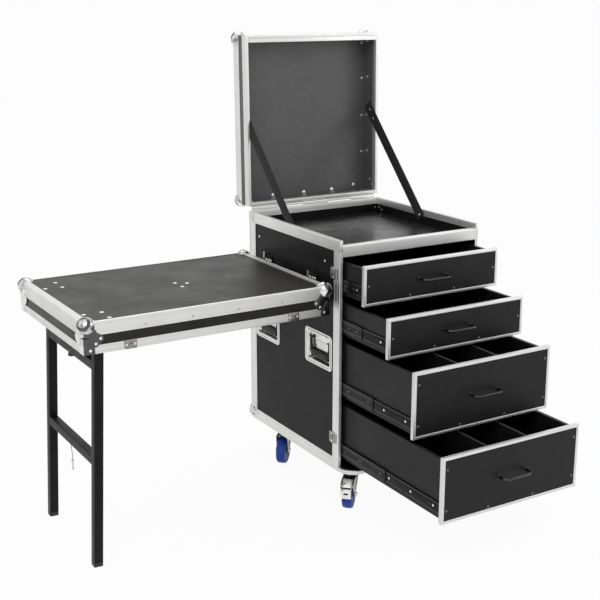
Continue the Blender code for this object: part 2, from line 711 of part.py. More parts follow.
def make_stay(side, fabric):
    """A taut webbing strap beside the rim's inner face, from the tray up to the lid's side wall."""
    name = "left_lid_stay" if side < 0 else "right_lid_stay"
    lower = Vector((STAY_LOWER_Y, CASE_HEIGHT - STAY_LOWER_DROP))
    upper = Vector((STAY_UPPER_Y, STAY_UPPER_Z))
    along = (upper - lower).normalized()
    across = Vector((-along.y, along.x)) * STAY_WIDTH / 2
    end = lower - along * STAY_TAIL
    outline = [end - across, upper - across, upper + across, end + across]
    outer = RIM_IN - GAP
    span = sorted((side * outer, side * (outer - STAY_THICKNESS)))
    return node(name, fabric, [prism([tuple(point) for point in outline], "x", *span)])


# Drawers

def make_drawer(index, materials):
    number = index + 1
    height = DRAWER_HEIGHTS[index]
    name = "drawer_%d" % number
    opened = DRAWER_OPEN_LENGTHS[index]
    runner = axis_empty(name + "_runner", (0.0, FRONT - opened, DRAWER_BOTTOMS[index]))

    low, high = (-FRONT_HALF, 0.0), (FRONT_HALF, height)
    depth = BOARD_FACE + DRAWER_BOARD
    section = ((0.0, 0.0), (TRIM_FACE, 0.0), (TRIM_FACE, TRIM_WALL), (TRIM_WALL, TRIM_WALL), (TRIM_WALL, depth),
               (0.0, depth))
    loops = [rect_loop(low, high, inset, level, "y") for inset, level in section]
    node(name + "_front_trim", materials["alu"], [ring_surface(loops, closed=True)], (), runner)

    inset = TRIM_WALL + GAP
    board_back = BOARD_FACE + DRAWER_BOARD
    box_z = (DRAWER_BOTTOM_RAISE, height - DRAWER_TOP_DROP)
    parts = [box((-FRONT_HALF + inset, FRONT_HALF - inset), (BOARD_FACE, board_back), (inset, height - inset)),
             box((-BOX_HALF, BOX_HALF), (board_back - SKIN, DRAWER_LENGTH), box_z)]
    inner_half = SLIDE_HEIGHT / 2 - 2 * SLIDE_SHEET - 2 * GAP
    for side in (-1, 1):
        span_x = sorted((side * (BOX_HALF - SUNK), side * (PANEL_IN - INNER_START)))
        parts.append(box(span_x, (board_back + GAP, board_back + GAP + SLIDE_LENGTH - 2 * SLIDE_SETBACK),
                         (SLIDE_RISE - inner_half, SLIDE_RISE + inner_half)))
    edges = [-BOX_HALF + DRAWER_WALL, BOX_HALF - DRAWER_WALL]
    if DRAWER_DIVIDERS[index]:
        for place in (-DIVIDER_PLACE, DIVIDER_PLACE):
            edges += [place - DIVIDER_WALL / 2, place + DIVIDER_WALL / 2]
        edges.sort()
    cuts = []
    for left, right in zip(edges[0::2], edges[1::2]):
        cuts.append(box((left, right), (board_back, DRAWER_LENGTH - DRAWER_WALL),
                        (DRAWER_BOTTOM_RAISE + DRAWER_FLOOR, height - DRAWER_TOP_DROP + PANEL)))
    node(name + "_box", materials["liner"], parts, cuts, runner)

    middle = height / 2
    half = PULL_SPREAD / 2
    route = [(-half, 0.0, 0.0), (-half, -PULL_REACH + PULL_BEND, 0.0)]
    for step in range(1, 5):
        angle = step * math.pi / 8
        route.append((-half + PULL_BEND * (1 - math.cos(angle)), -PULL_REACH + PULL_BEND * (1 - math.sin(angle)),
                      0.0))
    route += [(-x, y, z) for x, y, z in reversed(route)]
    seat = BOARD_FACE - GAP
    points = [(x, seat + y, middle + z) for x, y, z in route]
    tube(name + "_pull", materials["black_metal"], points, 2 * PULL_RADIUS, runner)

    for side in (-1, 1):
        word = "left" if side < 0 else "right"
        slider = axis_empty("%s_%s_mid_runner" % (name, word),
                            (0.0, FRONT + SLIDE_SETBACK - opened / 2, DRAWER_BOTTOMS[index]))
        half_height = SLIDE_HEIGHT / 2 - SLIDE_SHEET - GAP
        outline = slide_outline(side, MID_WEB, MID_WEB + SLIDE_SHEET, MID_LIP_END, half_height, SLIDE_SHEET,
                                SLIDE_RISE)
        node("%s_slide_%s" % (name, word), materials["black_metal"],
             [prism(outline, "y", 0.0, SLIDE_LENGTH)], (), slider)


# Table and its folding legs

def make_table(materials):
    place = (TABLE_CENTRE_X, TABLE_CENTRE_Y, TABLE_TOP_Z)
    table = axis_empty("table_place", place)
    half_l, half_w = TABLE_LENGTH / 2, TABLE_WIDTH / 2
    low, high = (-half_l, -half_w, -TABLE_THICKNESS), (half_l, half_w, 0.0)

    def to_axes(a, b, c):
        return a, b, c

    make_cover("table", materials, low, high, (TABLE_EDGE_BAND, TABLE_RIM_BAND, TABLE_FACE_BAND), to_axes, table)

    pivot_x = -half_l + LEG_PIVOT_INSET
    near_y = -half_w + LEG_NEAR_INSET
    legs_y = (near_y, near_y + LEG_SPREAD)
    underside = -SKIN - GAP - PANEL - GAP
    plate = (underside - MOUNT_PLATE, underside)
    half_plate = MOUNT_PLATE_WIDTH / 2
    inner = [y + sign * (LEG_TUBE / 2 + GAP) for y, sign in zip(legs_y, (1, -1))]
    parts = [box((pivot_x - half_plate, pivot_x + half_plate), (near_y, legs_y[1]), plate)]
    tip = -LEG_PIVOT_DROP - 2 * LEG_PIN_RADIUS
    root = plate[1] - SKIN
    outline = ((pivot_x - MOUNT_EAR_ROOT, root), (pivot_x - MOUNT_EAR_WAIST, -LEG_PIVOT_DROP),
               (pivot_x - MOUNT_EAR_TIP, tip), (pivot_x + MOUNT_EAR_TIP, tip),
               (pivot_x + MOUNT_EAR_WAIST, -LEG_PIVOT_DROP), (pivot_x + MOUNT_EAR_ROOT, root))
    for y, sign in zip(inner, (1, -1)):
        parts.append(prism(outline, "y", *sorted((y, y + sign * MOUNT_EAR))))
        pin = sorted((y + sign * SKIN, y - sign * (LEG_TUBE + GAP)))
        parts.append(cylinder((pivot_x, -LEG_PIVOT_DROP), "y", LEG_PIN_RADIUS, *pin, 12))
    node("leg_mount_bar", materials["black_metal"], parts, (), table)

    legs = axis_empty("leg_frame_pivot", (pivot_x, 0.0, -LEG_PIVOT_DROP), (0.0, LEG_TILT, 0.0), table)
    half = LEG_TUBE / 2
    parts = []
    cuts = []
    for y in legs_y:
        parts.append(box((-half, half), (y - half, y + half), (-LEG_LENGTH, LEG_HEAD)))
        bore = half - LEG_WALL
        cuts.append(box((-bore, bore), (y - bore, y + bore), (-LEG_LENGTH - LEG_WALL, LEG_HEAD - LEG_WALL)))
        cuts.append(cylinder((0.0, 0.0), "y", LEG_PIN_RADIUS + LEG_PIN_CLEARANCE, y - LEG_TUBE, y + LEG_TUBE, 12))
    for drop in (TOP_BAR_DROP, MID_BAR_DROP):
        parts.append(box((-half, half), (legs_y[0] + half - LEG_WALL / 2, legs_y[1] - half + LEG_WALL / 2),
                         (-drop - half, -drop + half)))
    node("leg_frame", materials["black_metal"], parts, cuts, legs)
    return legs


def make_lanyard(legs, materials):
    """The lanyard hangs plumb from the middle bar, its pin at the lower end."""
    bar_bottom = -MID_BAR_DROP - LEG_TUBE / 2 - GAP
    hang = axis_empty("lanyard_anchor", (0.0, LANYARD_PLACE_Y - TABLE_CENTRE_Y, bar_bottom),
                      (0.0, -LEG_TILT, 0.0), legs)
    lean = LANYARD_DIAMETER / 2 * math.sin(LEG_TILT)
    route = [(x, y, z - lean) for x, y, z in smooth_route(LANYARD_ROUTE, 2.5 * LANYARD_DIAMETER)]
    tube("pin_lanyard", materials["black_metal"], route, LANYARD_DIAMETER, hang)
    end = Vector(route[-1])
    top = end.z - GAP
    parts = [cylinder((end.x, end.y), "z", LOCK_PIN_HEAD_RADIUS, top - LOCK_PIN_HEAD, top, 12),
             cylinder((end.x, end.y), "z", LOCK_PIN_RADIUS, top - LOCK_PIN_HEAD - LOCK_PIN_LENGTH,
                      top - LOCK_PIN_HEAD / 2, 10)]
    node("leg_lock_pin", materials["zinc"], parts, (), hang)


# Casters

def make_caster(name, x, y, braked, materials):
    swivel = axis_empty(name + "_swivel", (x, y, 0.0), (0.0, 0.0, CASTER_HEADING))
    centre = (CASTER_TRAIL, 0.0, WHEEL_RADIUS - CASTER_HEIGHT)
    top = -CASTER_PLATE - GAP
    crown = top - CASTER_HEAD
    inner = WHEEL_WIDTH / 2 + FORK_CLEARANCE
    outer = inner + FORK_SHEET
    axle_z = centre[2]
    parts = [cylinder((0.0, 0.0), "z", CASTER_HEAD_RADIUS, crown + FORK_SHEET / 2, top, 20),
             box((-FORK_BACK, CASTER_TRAIL + FORK_BRIDGE), (-outer, outer),
                 (crown - FORK_SHEET / 2, crown + FORK_SHEET / 2 + GAP))]
    pivot_x = CASTER_TRAIL + PEDAL_PIVOT_RADIUS * math.cos(PEDAL_PIVOT_ANGLE)
    pivot_z = axle_z + PEDAL_PIVOT_RADIUS * math.sin(PEDAL_PIVOT_ANGLE)
    boss = AXLE_HEAD_RADIUS + FORK_SHEET
    leg = [(-FORK_BACK, crown + FORK_SHEET / 2), (CASTER_TRAIL + 2 * boss, crown + FORK_SHEET / 2)]
    if braked:
        reach = PEDAL_BARREL_RADIUS + FORK_SHEET
        leg += [(pivot_x + reach, pivot_z + PEDAL_BARREL_RADIUS), (pivot_x + PEDAL_BARREL_RADIUS, pivot_z - reach)]
    leg += [(CASTER_TRAIL + boss, axle_z + boss / 2), (CASTER_TRAIL + boss / 2, axle_z - boss),
            (CASTER_TRAIL - boss / 2, axle_z - boss), (CASTER_TRAIL - boss, axle_z)]
    for sign in (-1, 1):
        parts.append(prism(leg, "y", *sorted((sign * inner, sign * outer))))
    reach = outer + AXLE_HEAD
    parts.append(cylinder((CASTER_TRAIL, axle_z), "y", AXLE_RADIUS, -outer + GAP, outer - GAP, 12))
    for sign in (-1, 1):
        parts.append(cylinder((CASTER_TRAIL, axle_z), "y", AXLE_HEAD_RADIUS, *sorted((sign * (outer - SKIN),
                                                                                     sign * reach)), 6))
    node(name + "_fork", materials["zinc"], parts, (), swivel)

    axle = axis_empty(name + "_axle", centre, parent=swivel)
    half = WHEEL_WIDTH / 2
    tread = half - WHEEL_CROWN
    section = [(AXLE_RADIUS + AXLE_CLEARANCE, -half), (WHEEL_RADIUS - WHEEL_CROWN, -half), (WHEEL_RADIUS, -tread),
               (WHEEL_RADIUS, tread), (WHEEL_RADIUS - WHEEL_CROWN, half), (AXLE_RADIUS + AXLE_CLEARANCE, half)]
    loops = []
    for k in range(WHEEL_SIDES):
        angle = 2 * math.pi * (k + 0.5) / WHEEL_SIDES
        loops.append([(radius * math.cos(angle), level, radius * math.sin(angle)) for radius, level in section])
    node(name + "_wheel", materials["tyre"], [ring_surface(loops, closed=True)], (), axle)

    if braked:
        pedal = axis_empty(name + "_pedal_axis", (pivot_x, 0.0, pivot_z), parent=swivel)
        wide = PEDAL_WIDTH / 2
        arm_x, arm_z = PEDAL_ARM
        knee_x, knee_z = PEDAL_KNEE
        tip_x, tip_z = PEDAL_TIP
        outline = ((arm_x, arm_z + PEDAL_SHEET), (PEDAL_SHEET, PEDAL_BARREL_RADIUS), (knee_x, knee_z), (tip_x, tip_z),
                   (tip_x - PEDAL_SHEET, tip_z), (knee_x - PEDAL_SHEET, knee_z - PEDAL_SHEET / 2), (0.0, 0.0),
                   (arm_x, arm_z))
        barrel = inner - GAP
        node(name + "_brake_pedal", materials["zinc"],
             [prism(outline, "y", -wide, wide),
              cylinder((0.0, 0.0), "y", PEDAL_BARREL_RADIUS, -barrel, barrel, 10)], (), pedal)


def build():
    for leftover in list(bpy.data.objects):
        bpy.data.objects.remove(leftover, do_unlink=True)
    materials = {
        "wood": material("laminate_black", (0.042, 0.042, 0.043), 0.42),
        "liner": material("drawer_black", (0.030, 0.030, 0.031), 0.55),
        "alu": material("aluminium", (0.62, 0.62, 0.61), 0.32, 1.0),
        "zinc": material("zinc_steel", (0.66, 0.66, 0.64), 0.28, 1.0),
        "black_metal": material("black_steel", (0.022, 0.022, 0.023), 0.40, 0.2),
        "fabric": material("black_webbing", (0.020, 0.020, 0.021), 0.85),
        "tyre": material("blue_tyre", (0.020, 0.055, 0.290), 0.50),
    }
    make_base(materials["wood"])
    make_lip_trim(materials["alu"])
    for side in (-1, 1):
        make_side_panel(side, materials["wood"])
    make_back_panel(materials["wood"])
    make_work_surface(materials["wood"])
    make_crossbeam(materials["alu"])
    make_case_frame(materials["alu"])
    for side, word in ((-1, "left"), (1, "right")):
        for centre_y, place in zip(DISH_CENTRES_Y, ("front", "rear")):
            make_dish("%s_%s_handle_dish" % (word, place), side, centre_y, materials["zinc"])
            make_bail("%s_%s_handle" % (word, place), side, centre_y, materials["black_metal"])
    for centre_y, place in zip(HOOK_CENTRES_Y, ("front", "rear")):
        make_hook("table_hook_" + place, centre_y, materials["zinc"])
    make_case_hinge(materials["zinc"])
    make_lid(materials)
    for side in (-1, 1):
        make_stay(side, materials["fabric"])
    for index in range(len(DRAWER_HEIGHTS)):
        make_drawer(index, materials)
    legs = make_table(materials)
    make_lanyard(legs, materials)
    for side, word in ((-1, "left"), (1, "right")):
        make_caster("front_%s_caster" % word, side * CASTER_X, CASTER_FRONT_Y, True, materials)
        make_caster("rear_%s_caster" % word, side * CASTER_X, CASTER_REAR_Y, False, materials)


build()
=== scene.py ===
# Production case: the looks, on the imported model's frame. Metres, +Z up, the drawers open toward -Y.
import math

import bmesh
import bpy
from mathutils import Matrix, Vector


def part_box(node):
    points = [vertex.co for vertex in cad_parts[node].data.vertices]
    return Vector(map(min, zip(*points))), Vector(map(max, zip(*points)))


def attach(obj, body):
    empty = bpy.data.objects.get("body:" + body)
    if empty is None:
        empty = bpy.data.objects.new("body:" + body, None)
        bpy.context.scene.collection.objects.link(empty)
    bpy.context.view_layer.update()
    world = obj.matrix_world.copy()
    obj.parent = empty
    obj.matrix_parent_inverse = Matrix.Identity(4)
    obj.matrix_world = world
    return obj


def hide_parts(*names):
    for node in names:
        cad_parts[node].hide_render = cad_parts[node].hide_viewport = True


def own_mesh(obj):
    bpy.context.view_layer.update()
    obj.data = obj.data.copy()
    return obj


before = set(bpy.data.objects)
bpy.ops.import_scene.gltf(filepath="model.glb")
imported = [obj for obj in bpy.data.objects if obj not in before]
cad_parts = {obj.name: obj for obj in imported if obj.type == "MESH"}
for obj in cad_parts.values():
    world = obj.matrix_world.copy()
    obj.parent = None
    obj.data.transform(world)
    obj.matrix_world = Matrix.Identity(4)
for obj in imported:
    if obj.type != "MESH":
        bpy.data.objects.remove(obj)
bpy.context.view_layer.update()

# Sizes that the solids share with these pieces
GAP = 0.0003
SKIN = 0.0015
PANEL = 0.009
WALL = PANEL + 2 * SKIN + 2 * GAP
HALF_W = 0.300
FRONT = -0.320
BACK = 0.320
CASE_TOP = 0.838
BEAM_TOP = 0.818
PANEL_OUT = HALF_W - SKIN - GAP
PANEL_IN = PANEL_OUT - PANEL
RIM_IN = PANEL_IN - GAP - SKIN
TOP_RAIL = 0.040
BOTTOM_RAIL = 0.044
FRONT_PROFILE = 0.037
REAR_PROFILE = 0.049
BACK_PROFILE = 0.040
BALL_RADIUS = 0.0285
BALL_INSET = 0.0150
EDGE_BAND = 0.044
RIM_BAND = 0.028
FACE_BAND = 0.026
RIM_FLANGE = 0.025

# Where the bodies' own axes stand at rest
HINGE_Y = 0.328
HINGE_Z = 0.846
LID_LEAN = math.radians(1.15)
LID_PLACE = Matrix.Translation((0.0, HINGE_Y, HINGE_Z)) @ Matrix.Rotation(-LID_LEAN, 4, "X")
LID_LOW = Vector((-HALF_W, 0.008, -0.0077))
LID_HIGH = Vector((HALF_W, 0.648, 0.092))
TABLE_TOP_Z = 0.6895
TABLE_PLACE = Matrix.Translation((-0.7805, -0.023, TABLE_TOP_Z))
TABLE_LOW = Vector((-0.4385, -0.302, -0.103))
TABLE_HIGH = Vector((0.4385, 0.302, 0.0))
LEG_TILT = math.radians(2.9)
LEG_PIVOT = Matrix.Translation((-0.3835, 0.0, -0.073))
LEGS_PLACE = TABLE_PLACE @ LEG_PIVOT @ Matrix.Rotation(LEG_TILT, 4, "Y")
LEG_TUBE = 0.030
LEG_NEAR_Y = -0.274
LEG_FAR_Y = 0.150
TOP_BAR_DROP = 0.0765
MID_BAR_DROP = 0.389
DISH_CENTRES_Y = (-0.185, 0.181)
DISH_CENTRE_Z = 0.4215
DISH_HALF_Y = 0.0895
DISH_HALF_Z = 0.0655
CASTER_X = 0.246
CASTER_FRONT_Y = -0.326
CASTER_REAR_Y = 0.140
CASTER_HEADING = math.radians(-134.5)
CASTER_TRAIL = 0.040
WHEEL_RADIUS = 0.052
FLOOR_Z = -0.130
AXLE_Z = WHEEL_RADIUS + FLOOR_Z
CREASE = math.radians(35.0)
DRAWERS = (("drawer_1", False), ("drawer_2", False), ("drawer_3", True), ("drawer_4", True))
SIDES = ((-1, "left"), (1, "right"))

# The stays' fixings in y and z: the case's screw and the strap's end in the lid
STAY_FIXING = Vector((0.0141, 0.8150))
STAY_END = Vector((0.3866, 1.2100))
STAY_LEAN = math.atan2(0.3950, 0.3725)

# The lanyard of the locking pin: its diameter and its route below its anchor under the leg frame's middle bar
LANYARD_DIAMETER = 0.002
LANYARD_PLACE_Y = -0.031
LANYARD_ROUTE = ((0.0, 0.0, 0.0), (0.0, -0.0004, -0.008), (0.0002, -0.0018, -0.018),
                 (0.0006, -0.0038, -0.028), (0.0008, -0.0058, -0.038), (0.0006, -0.0076, -0.048),
                 (0.0003, -0.0090, -0.058), (0.0, -0.0095, -0.066))

# Camera and light
LENS = 67.10
SENSOR_WIDTH = 36.0
CAMERA_PLACE = (-2.3140, -3.4070, 1.6354)
CAMERA_DOWN = 0.2659
CAMERA_TURN = -0.5416
WORLD_LIGHT = 0.55
FLOOR_HALF_SIZE = 600.0
FLOOR_SEEN_WHITE = 0.95


# Camera

def add_object(name, data):
    made = bpy.data.objects.new(name, data)
    bpy.context.scene.collection.objects.link(made)
    return made


def make_camera():
    data = bpy.data.cameras.new("camera")
    data.lens = LENS
    data.sensor_width = SENSOR_WIDTH
    camera = add_object("camera", data)
    camera.location = CAMERA_PLACE
    camera.rotation_euler = (math.pi / 2 - CAMERA_DOWN, 0.0, CAMERA_TURN)
    bpy.context.scene.camera = camera


# Materials

class Shader:
    """A material's node tree, with its Principled shader and its texture coordinates."""

    def __init__(self, name, colour, roughness, metallic=0.0):
        self.material = bpy.data.materials.new(name)
        self.material.use_nodes = True
        self.tree = self.material.node_tree
        self.bsdf = self.tree.nodes["Principled BSDF"]
        self.put(self.bsdf, {"Base Color": (*colour, 1.0), "Roughness": roughness, "Metallic": metallic})
        self.coordinates = self.tree.nodes.new("ShaderNodeTexCoord").outputs["Object"]

    def put(self, node, inputs):
        """Links each socket to the input it is given for, and sets the other values."""
        for key, value in inputs.items():
            if isinstance(value, bpy.types.NodeSocket):
                self.tree.links.new(value, node.inputs[key])
            else:
                node.inputs[key].default_value = value

    def node(self, kind, output, inputs, **settings):
        """One output of a new node with these inputs and settings."""
        made = self.tree.nodes.new("ShaderNode" + kind)
        for key, value in settings.items():
            setattr(made, key, value)
        self.put(made, inputs)
        return made.outputs[output]

    def space(self, stretch=(1.0, 1.0, 1.0), turn=(0.0, 0.0, 0.0)):
        """The object's own coordinates, stretched and turned."""
        placing = {"Vector": self.coordinates, "Scale": stretch, "Rotation": turn}
        return self.node("Mapping", "Vector", placing)

    def noise(self, scale, detail, space=None, distortion=0.0):
        inputs = {"Vector": space or self.space(), "Scale": scale, "Detail": detail, "Distortion": distortion}
        return self.node("TexNoise", "Fac", inputs)

    def waves(self, scale, space, direction, distortion):
        return self.node("TexWave", "Fac", {"Vector": space, "Scale": scale, "Distortion": distortion},
                         bands_direction=direction)

    def span(self, value, low, high, start=0.3, end=0.7):
        """The value carried from start..end to low..high."""
        return self.node("MapRange", "Result", {"Value": value, "From Min": start, "From Max": end,
                                                "To Min": low, "To Max": high})

    def colours(self, value, *stops):
        """Colours along the value, from two (place, colour) stops."""
        ramp = self.node("ValToRGB", "Color", {"Fac": value})
        for element, (place, colour) in zip(ramp.node.color_ramp.elements, stops):
            element.position = place
            element.color = (*colour, 1.0)
        return ramp

    def added(self, a, b):
        """Two colours added."""
        return self.node("Mix", "Result", {"Factor": 1.0, "A": a, "B": b}, data_type="RGBA", blend_type="ADD")

    def sum(self, a, b, kind="ADD"):
        """Two values added, or joined by another operation."""
        return self.node("Math", "Value", {0: a, 1: b}, operation=kind)

    def surface(self, colour, roughness=None):
        """Drives the shader's colour, and its roughness where one is given."""
        self.put(self.bsdf, {"Base Color": colour})
        if roughness is not None:
            self.put(self.bsdf, {"Roughness": roughness})

    def bump(self, height, strength, distance):
        normal = self.node("Bump", "Normal", {"Height": height, "Strength": strength, "Distance": distance})
        self.put(self.bsdf, {"Normal": normal})


def shade(colour, factor, lift=0.0):
    """A colour made darker or lighter."""
    return tuple(min(1.0, factor * c + lift) for c in colour)


def laminate(name, dark, light, roughness, sheen):
    """A phenolic film: near black, finely mottled, with a fine pore in its satin and a few faint scuffs."""
    scuff_stretch, scuff_turn = (1.0, 1.0, 22.0), (0.6, 0.2, 0.3)
    scuff_colour = (0.008, 0.008, 0.008)
    made = Shader(name, light, roughness)
    made.put(made.bsdf, {"Specular IOR Level": sheen})
    mottle = made.sum(made.noise(26.0, 6.0), made.noise(3.1, 2.0))
    film = made.colours(made.span(mottle, 0.0, 1.0, 0.75, 1.25), (0.0, dark), (1.0, light))
    scuffs = made.noise(7.0, 8.0, made.space(scuff_stretch, scuff_turn), 0.4)
    worn = made.colours(scuffs, (0.70, (0.0, 0.0, 0.0)), (0.80, scuff_colour))
    made.surface(made.added(film, worn), made.span(made.noise(9.0, 4.0), roughness - 0.05, roughness + 0.07))
    made.bump(made.sum(made.noise(620.0, 2.0), made.noise(150.0, 2.0)), 0.10, 0.0002)
    return made.material


def drawn_metal(name, colour, roughness, stretch):
    """Drawn or rolled metal with fine lines along one axis, small scuffs and uneven sheen."""
    made = Shader(name, colour, roughness, 1.0)
    lines = made.noise(110.0, 4.0, made.space(stretch))
    wear = made.sum(lines, made.noise(14.0, 4.0), "MULTIPLY")
    made.surface(made.colours(wear, (0.12, shade(colour, 0.93)), (0.42, shade(colour, 1.04))),
                 made.span(wear, roughness + 0.06, roughness - 0.03, 0.1, 0.45))
    made.bump(lines, 0.05, 0.0001)
    return made.material


def plated(name, colour, roughness, spots=90.0, depth=0.74):
    """Plated or cast metal without a grain: faint clouds, pits and handling marks; with a low depth its
    clouds turn dark, as painted reflections.
    """
    made = Shader(name, colour, roughness, 1.0)
    cloud = made.noise(spots, 5.0)
    made.surface(made.colours(cloud, (0.30, shade(colour, depth)), (0.62, colour)),
                 made.span(cloud, roughness + 0.12, roughness - 0.03))
    made.bump(made.noise(420.0, 3.0), 0.10, 0.0002)
    return made.material


def painted_steel(name, colour, roughness, sheen=0.30):
    """Black powder coat: a fine orange peel, with a little shine on its high spots."""
    made = Shader(name, colour, roughness)
    made.put(made.bsdf, {"Specular IOR Level": sheen})
    cloud = made.noise(30.0, 4.0)
    made.surface(made.colours(cloud, (0.35, colour), (0.75, shade(colour, 1.7, 0.004))),
                 made.span(cloud, roughness - 0.06, roughness + 0.08))
    made.bump(made.noise(900.0, 2.0), 0.22, 0.00025)
    return made.material


def webbing(name, lean):
    """Woven polyester tape: ribs across it and a twill along it, in the strap's own leaning axes."""
    thread, weave_hollow_shade = (0.036, 0.036, 0.038), (0.008, 0.008, 0.009)
    made = Shader(name, (0.018, 0.018, 0.019), 0.88)
    space = made.space((1.0, 1.0, 1.0), (lean, 0.0, 0.0))
    weave = made.sum(made.waves(210.0, space, "Z", 0.6), made.waves(150.0, space, "Y", 0.3), "MULTIPLY")
    # The weave's hollows are coloured darker than its threads: painted shade in the weave.
    made.surface(made.colours(weave, (0.05, weave_hollow_shade), (0.85, thread)))
    made.bump(weave, 0.55, 0.0004)
    return made.material


def rubber(name, dark, light, roughness):
    """Cast polyurethane or rubber: a soft satin with a dusty tone in places."""
    made = Shader(name, light, roughness)
    cloud = made.noise(38.0, 5.0)
    made.surface(made.colours(cloud, (0.30, dark), (0.70, light)),
                 made.span(cloud, roughness + 0.12, roughness - 0.05))
    made.bump(made.noise(500.0, 2.0), 0.12, 0.0002)
    return made.material


LAMINATE = laminate("laminate_film", (0.006, 0.006, 0.0064), (0.010, 0.010, 0.0102), 0.36, 0.11)
# The lid's film is made far lighter than the case's same film: painted light.
LID_FILM_PAINTED_LIGHT = laminate("lid_film_painted_light", (0.086, 0.086, 0.0895), (0.106, 0.106, 0.1090), 0.34, 0.42)
TRAY_FILM = laminate("tray_film", (0.010, 0.010, 0.0104), (0.016, 0.016, 0.0164), 0.27, 0.60)
TABLE_FILM = laminate("table_film", (0.015, 0.0139, 0.0126), (0.023, 0.0213, 0.0194), 0.38, 0.19)
DRAWER_FILM = laminate("drawer_film", (0.008, 0.008, 0.0084), (0.013, 0.013, 0.0134), 0.44, 0.20)
ALU = {
    "x": drawn_metal("aluminium_x", (0.72, 0.72, 0.71), 0.42, (0.03, 1.0, 1.0)),
    "y": drawn_metal("aluminium_y", (0.72, 0.72, 0.71), 0.42, (1.0, 0.03, 1.0)),
    "z": drawn_metal("aluminium_z", (0.72, 0.72, 0.71), 0.42, (1.0, 1.0, 0.03)),
}
# Painted shade: a darker, rougher aluminium laid in the bottoms of the beam's grooves.
GROOVE_SHADE = drawn_metal("aluminium_groove_painted_shade", (0.70, 0.70, 0.70), 0.50, (0.03, 1.0, 1.0))
ZINC = plated("zinc_plate", (0.66, 0.66, 0.64), 0.24)
PRESSED = plated("pressed_zinc", (0.74, 0.74, 0.72), 0.26, 40.0, 0.88)
CHROME = plated("bright_zinc", (0.74, 0.74, 0.73), 0.10, 60.0)
# Its low depth gives deep dark clouds: painted reflections on the polished ball.
MIRROR = plated("polished_zinc_painted_reflection", (0.80, 0.80, 0.80), 0.08, 52.0, 0.16)
# Painted shade and reflection: a near black copy of the zinc for faces that are dark from shade or from what
# they reflect.
ZINC_SHADE_REFLECTION = plated("zinc_painted_shade_reflection", (0.11, 0.11, 0.115), 0.22, 110.0)
DARK_ZINC = plated("dull_zinc", (0.34, 0.33, 0.31), 0.30, 130.0)
RIVET = plated("rivet_metal", (0.84, 0.84, 0.82), 0.30, 200.0, 0.86)
BLACK_STEEL = painted_steel("black_powder_coat", (0.005, 0.005, 0.0052), 0.42, 0.15)
SLIDE_STEEL = painted_steel("black_slide_steel", (0.004, 0.004, 0.0042), 0.34, 0.14)
GRIP = rubber("grip_rubber", (0.007, 0.007, 0.007), (0.014, 0.014, 0.014), 0.52)
# Painted shade: a near black material laid in slots, holes, gaps and recesses where there is only shade.
RECESS_SHADE = rubber("painted_recess_shade", (0.003, 0.003, 0.003), (0.006, 0.006, 0.006), 0.75)
TYRE = rubber("blue_polyurethane", (0.005, 0.040, 0.310), (0.008, 0.056, 0.420), 0.50)
HUB = rubber("hub_plastic", (0.008, 0.008, 0.009), (0.017, 0.017, 0.018), 0.48)
WIRE = painted_steel("coated_wire", (0.010, 0.010, 0.010), 0.34)
WEBBING = webbing("woven_webbing", -STAY_LEAN)
EDGE_TAPE = laminate("edge_tape", (0.030, 0.030, 0.030), (0.050, 0.050, 0.050), 0.45, 0.4)
PULL_BLACK = painted_steel("black_pull", (0.004, 0.004, 0.0042), 0.20, 0.6)
# Painted highlight: a lighter steel for the bright edges of the slides' beads and inside their holes.
SLIDE_HIGHLIGHT_STEEL = plated("worn_slide_steel", (0.15, 0.15, 0.155), 0.30, 120.0)


# Shapes: each returns a mesh

def as_mesh(bm):
    bmesh.ops.recalc_face_normals(bm, faces=bm.faces)
    mesh = bpy.data.meshes.new("shape")
    bm.to_mesh(mesh)
    bm.free()
    return mesh


def soften(bm, width, segments=2, angle=30.0):
    """Rounds the edges that turn more than an angle."""
    sharp = [edge for edge in bm.edges if len(edge.link_faces) == 2
             and edge.calc_face_angle(0.0) > math.radians(angle)]
    bmesh.ops.bevel(bm, geom=sharp, offset=width, segments=segments, profile=0.6, affect="EDGES",
                    clamp_overlap=True)


def block(x, y, z, soft=0.0005, segments=2):
    """A box from three (low, high) pairs with rounded edges."""
    bm = bmesh.new()
    bmesh.ops.create_cube(bm, size=1.0)
    size = Vector((x[1] - x[0], y[1] - y[0], z[1] - z[0]))
    middle = Vector((x[1] + x[0], y[1] + y[0], z[1] + z[0])) / 2
    for vertex in bm.verts:
        vertex.co = Vector([a * b for a, b in zip(vertex.co, size)]) + middle
    if soft:
        soften(bm, soft, segments)
    return as_mesh(bm)


def prism(outline, axis, low, high, soft=0.0, segments=2):
    """An outline extruded along an axis; its points are the other two coordinates in order."""
    index = "xyz".index(axis)
    bm = bmesh.new()
    corners = []
    for point in outline:
        place = list(point)
        place.insert(index, low)
        corners.append(bm.verts.new(place))
    face = bm.faces.new(corners)
    moved = bmesh.ops.extrude_face_region(bm, geom=[face])["geom"]
    shift = Vector([high - low if k == index else 0.0 for k in range(3)])
    bmesh.ops.translate(bm, vec=shift, verts=[item for item in moved if isinstance(item, bmesh.types.BMVert)])
    if soft:
        soften(bm, soft, segments)
    return as_mesh(bm)


def loft(loops, closed=False, capped=True):
    """A surface through loops of equal length, closed round or capped at its ends."""
    bm = bmesh.new()
    rows = [[bm.verts.new(point) for point in loop] for loop in loops]
    pairs = list(zip(rows, rows[1:]))
    if closed:
        pairs.append((rows[-1], rows[0]))
    for a, b in pairs:
        for i in range(len(a)):
            j = (i + 1) % len(a)
            bm.faces.new((a[i], a[j], b[j], b[i]))
    if capped and not closed:
        bm.faces.new(list(reversed(rows[0])))
        bm.faces.new(rows[-1])
    return as_mesh(bm)


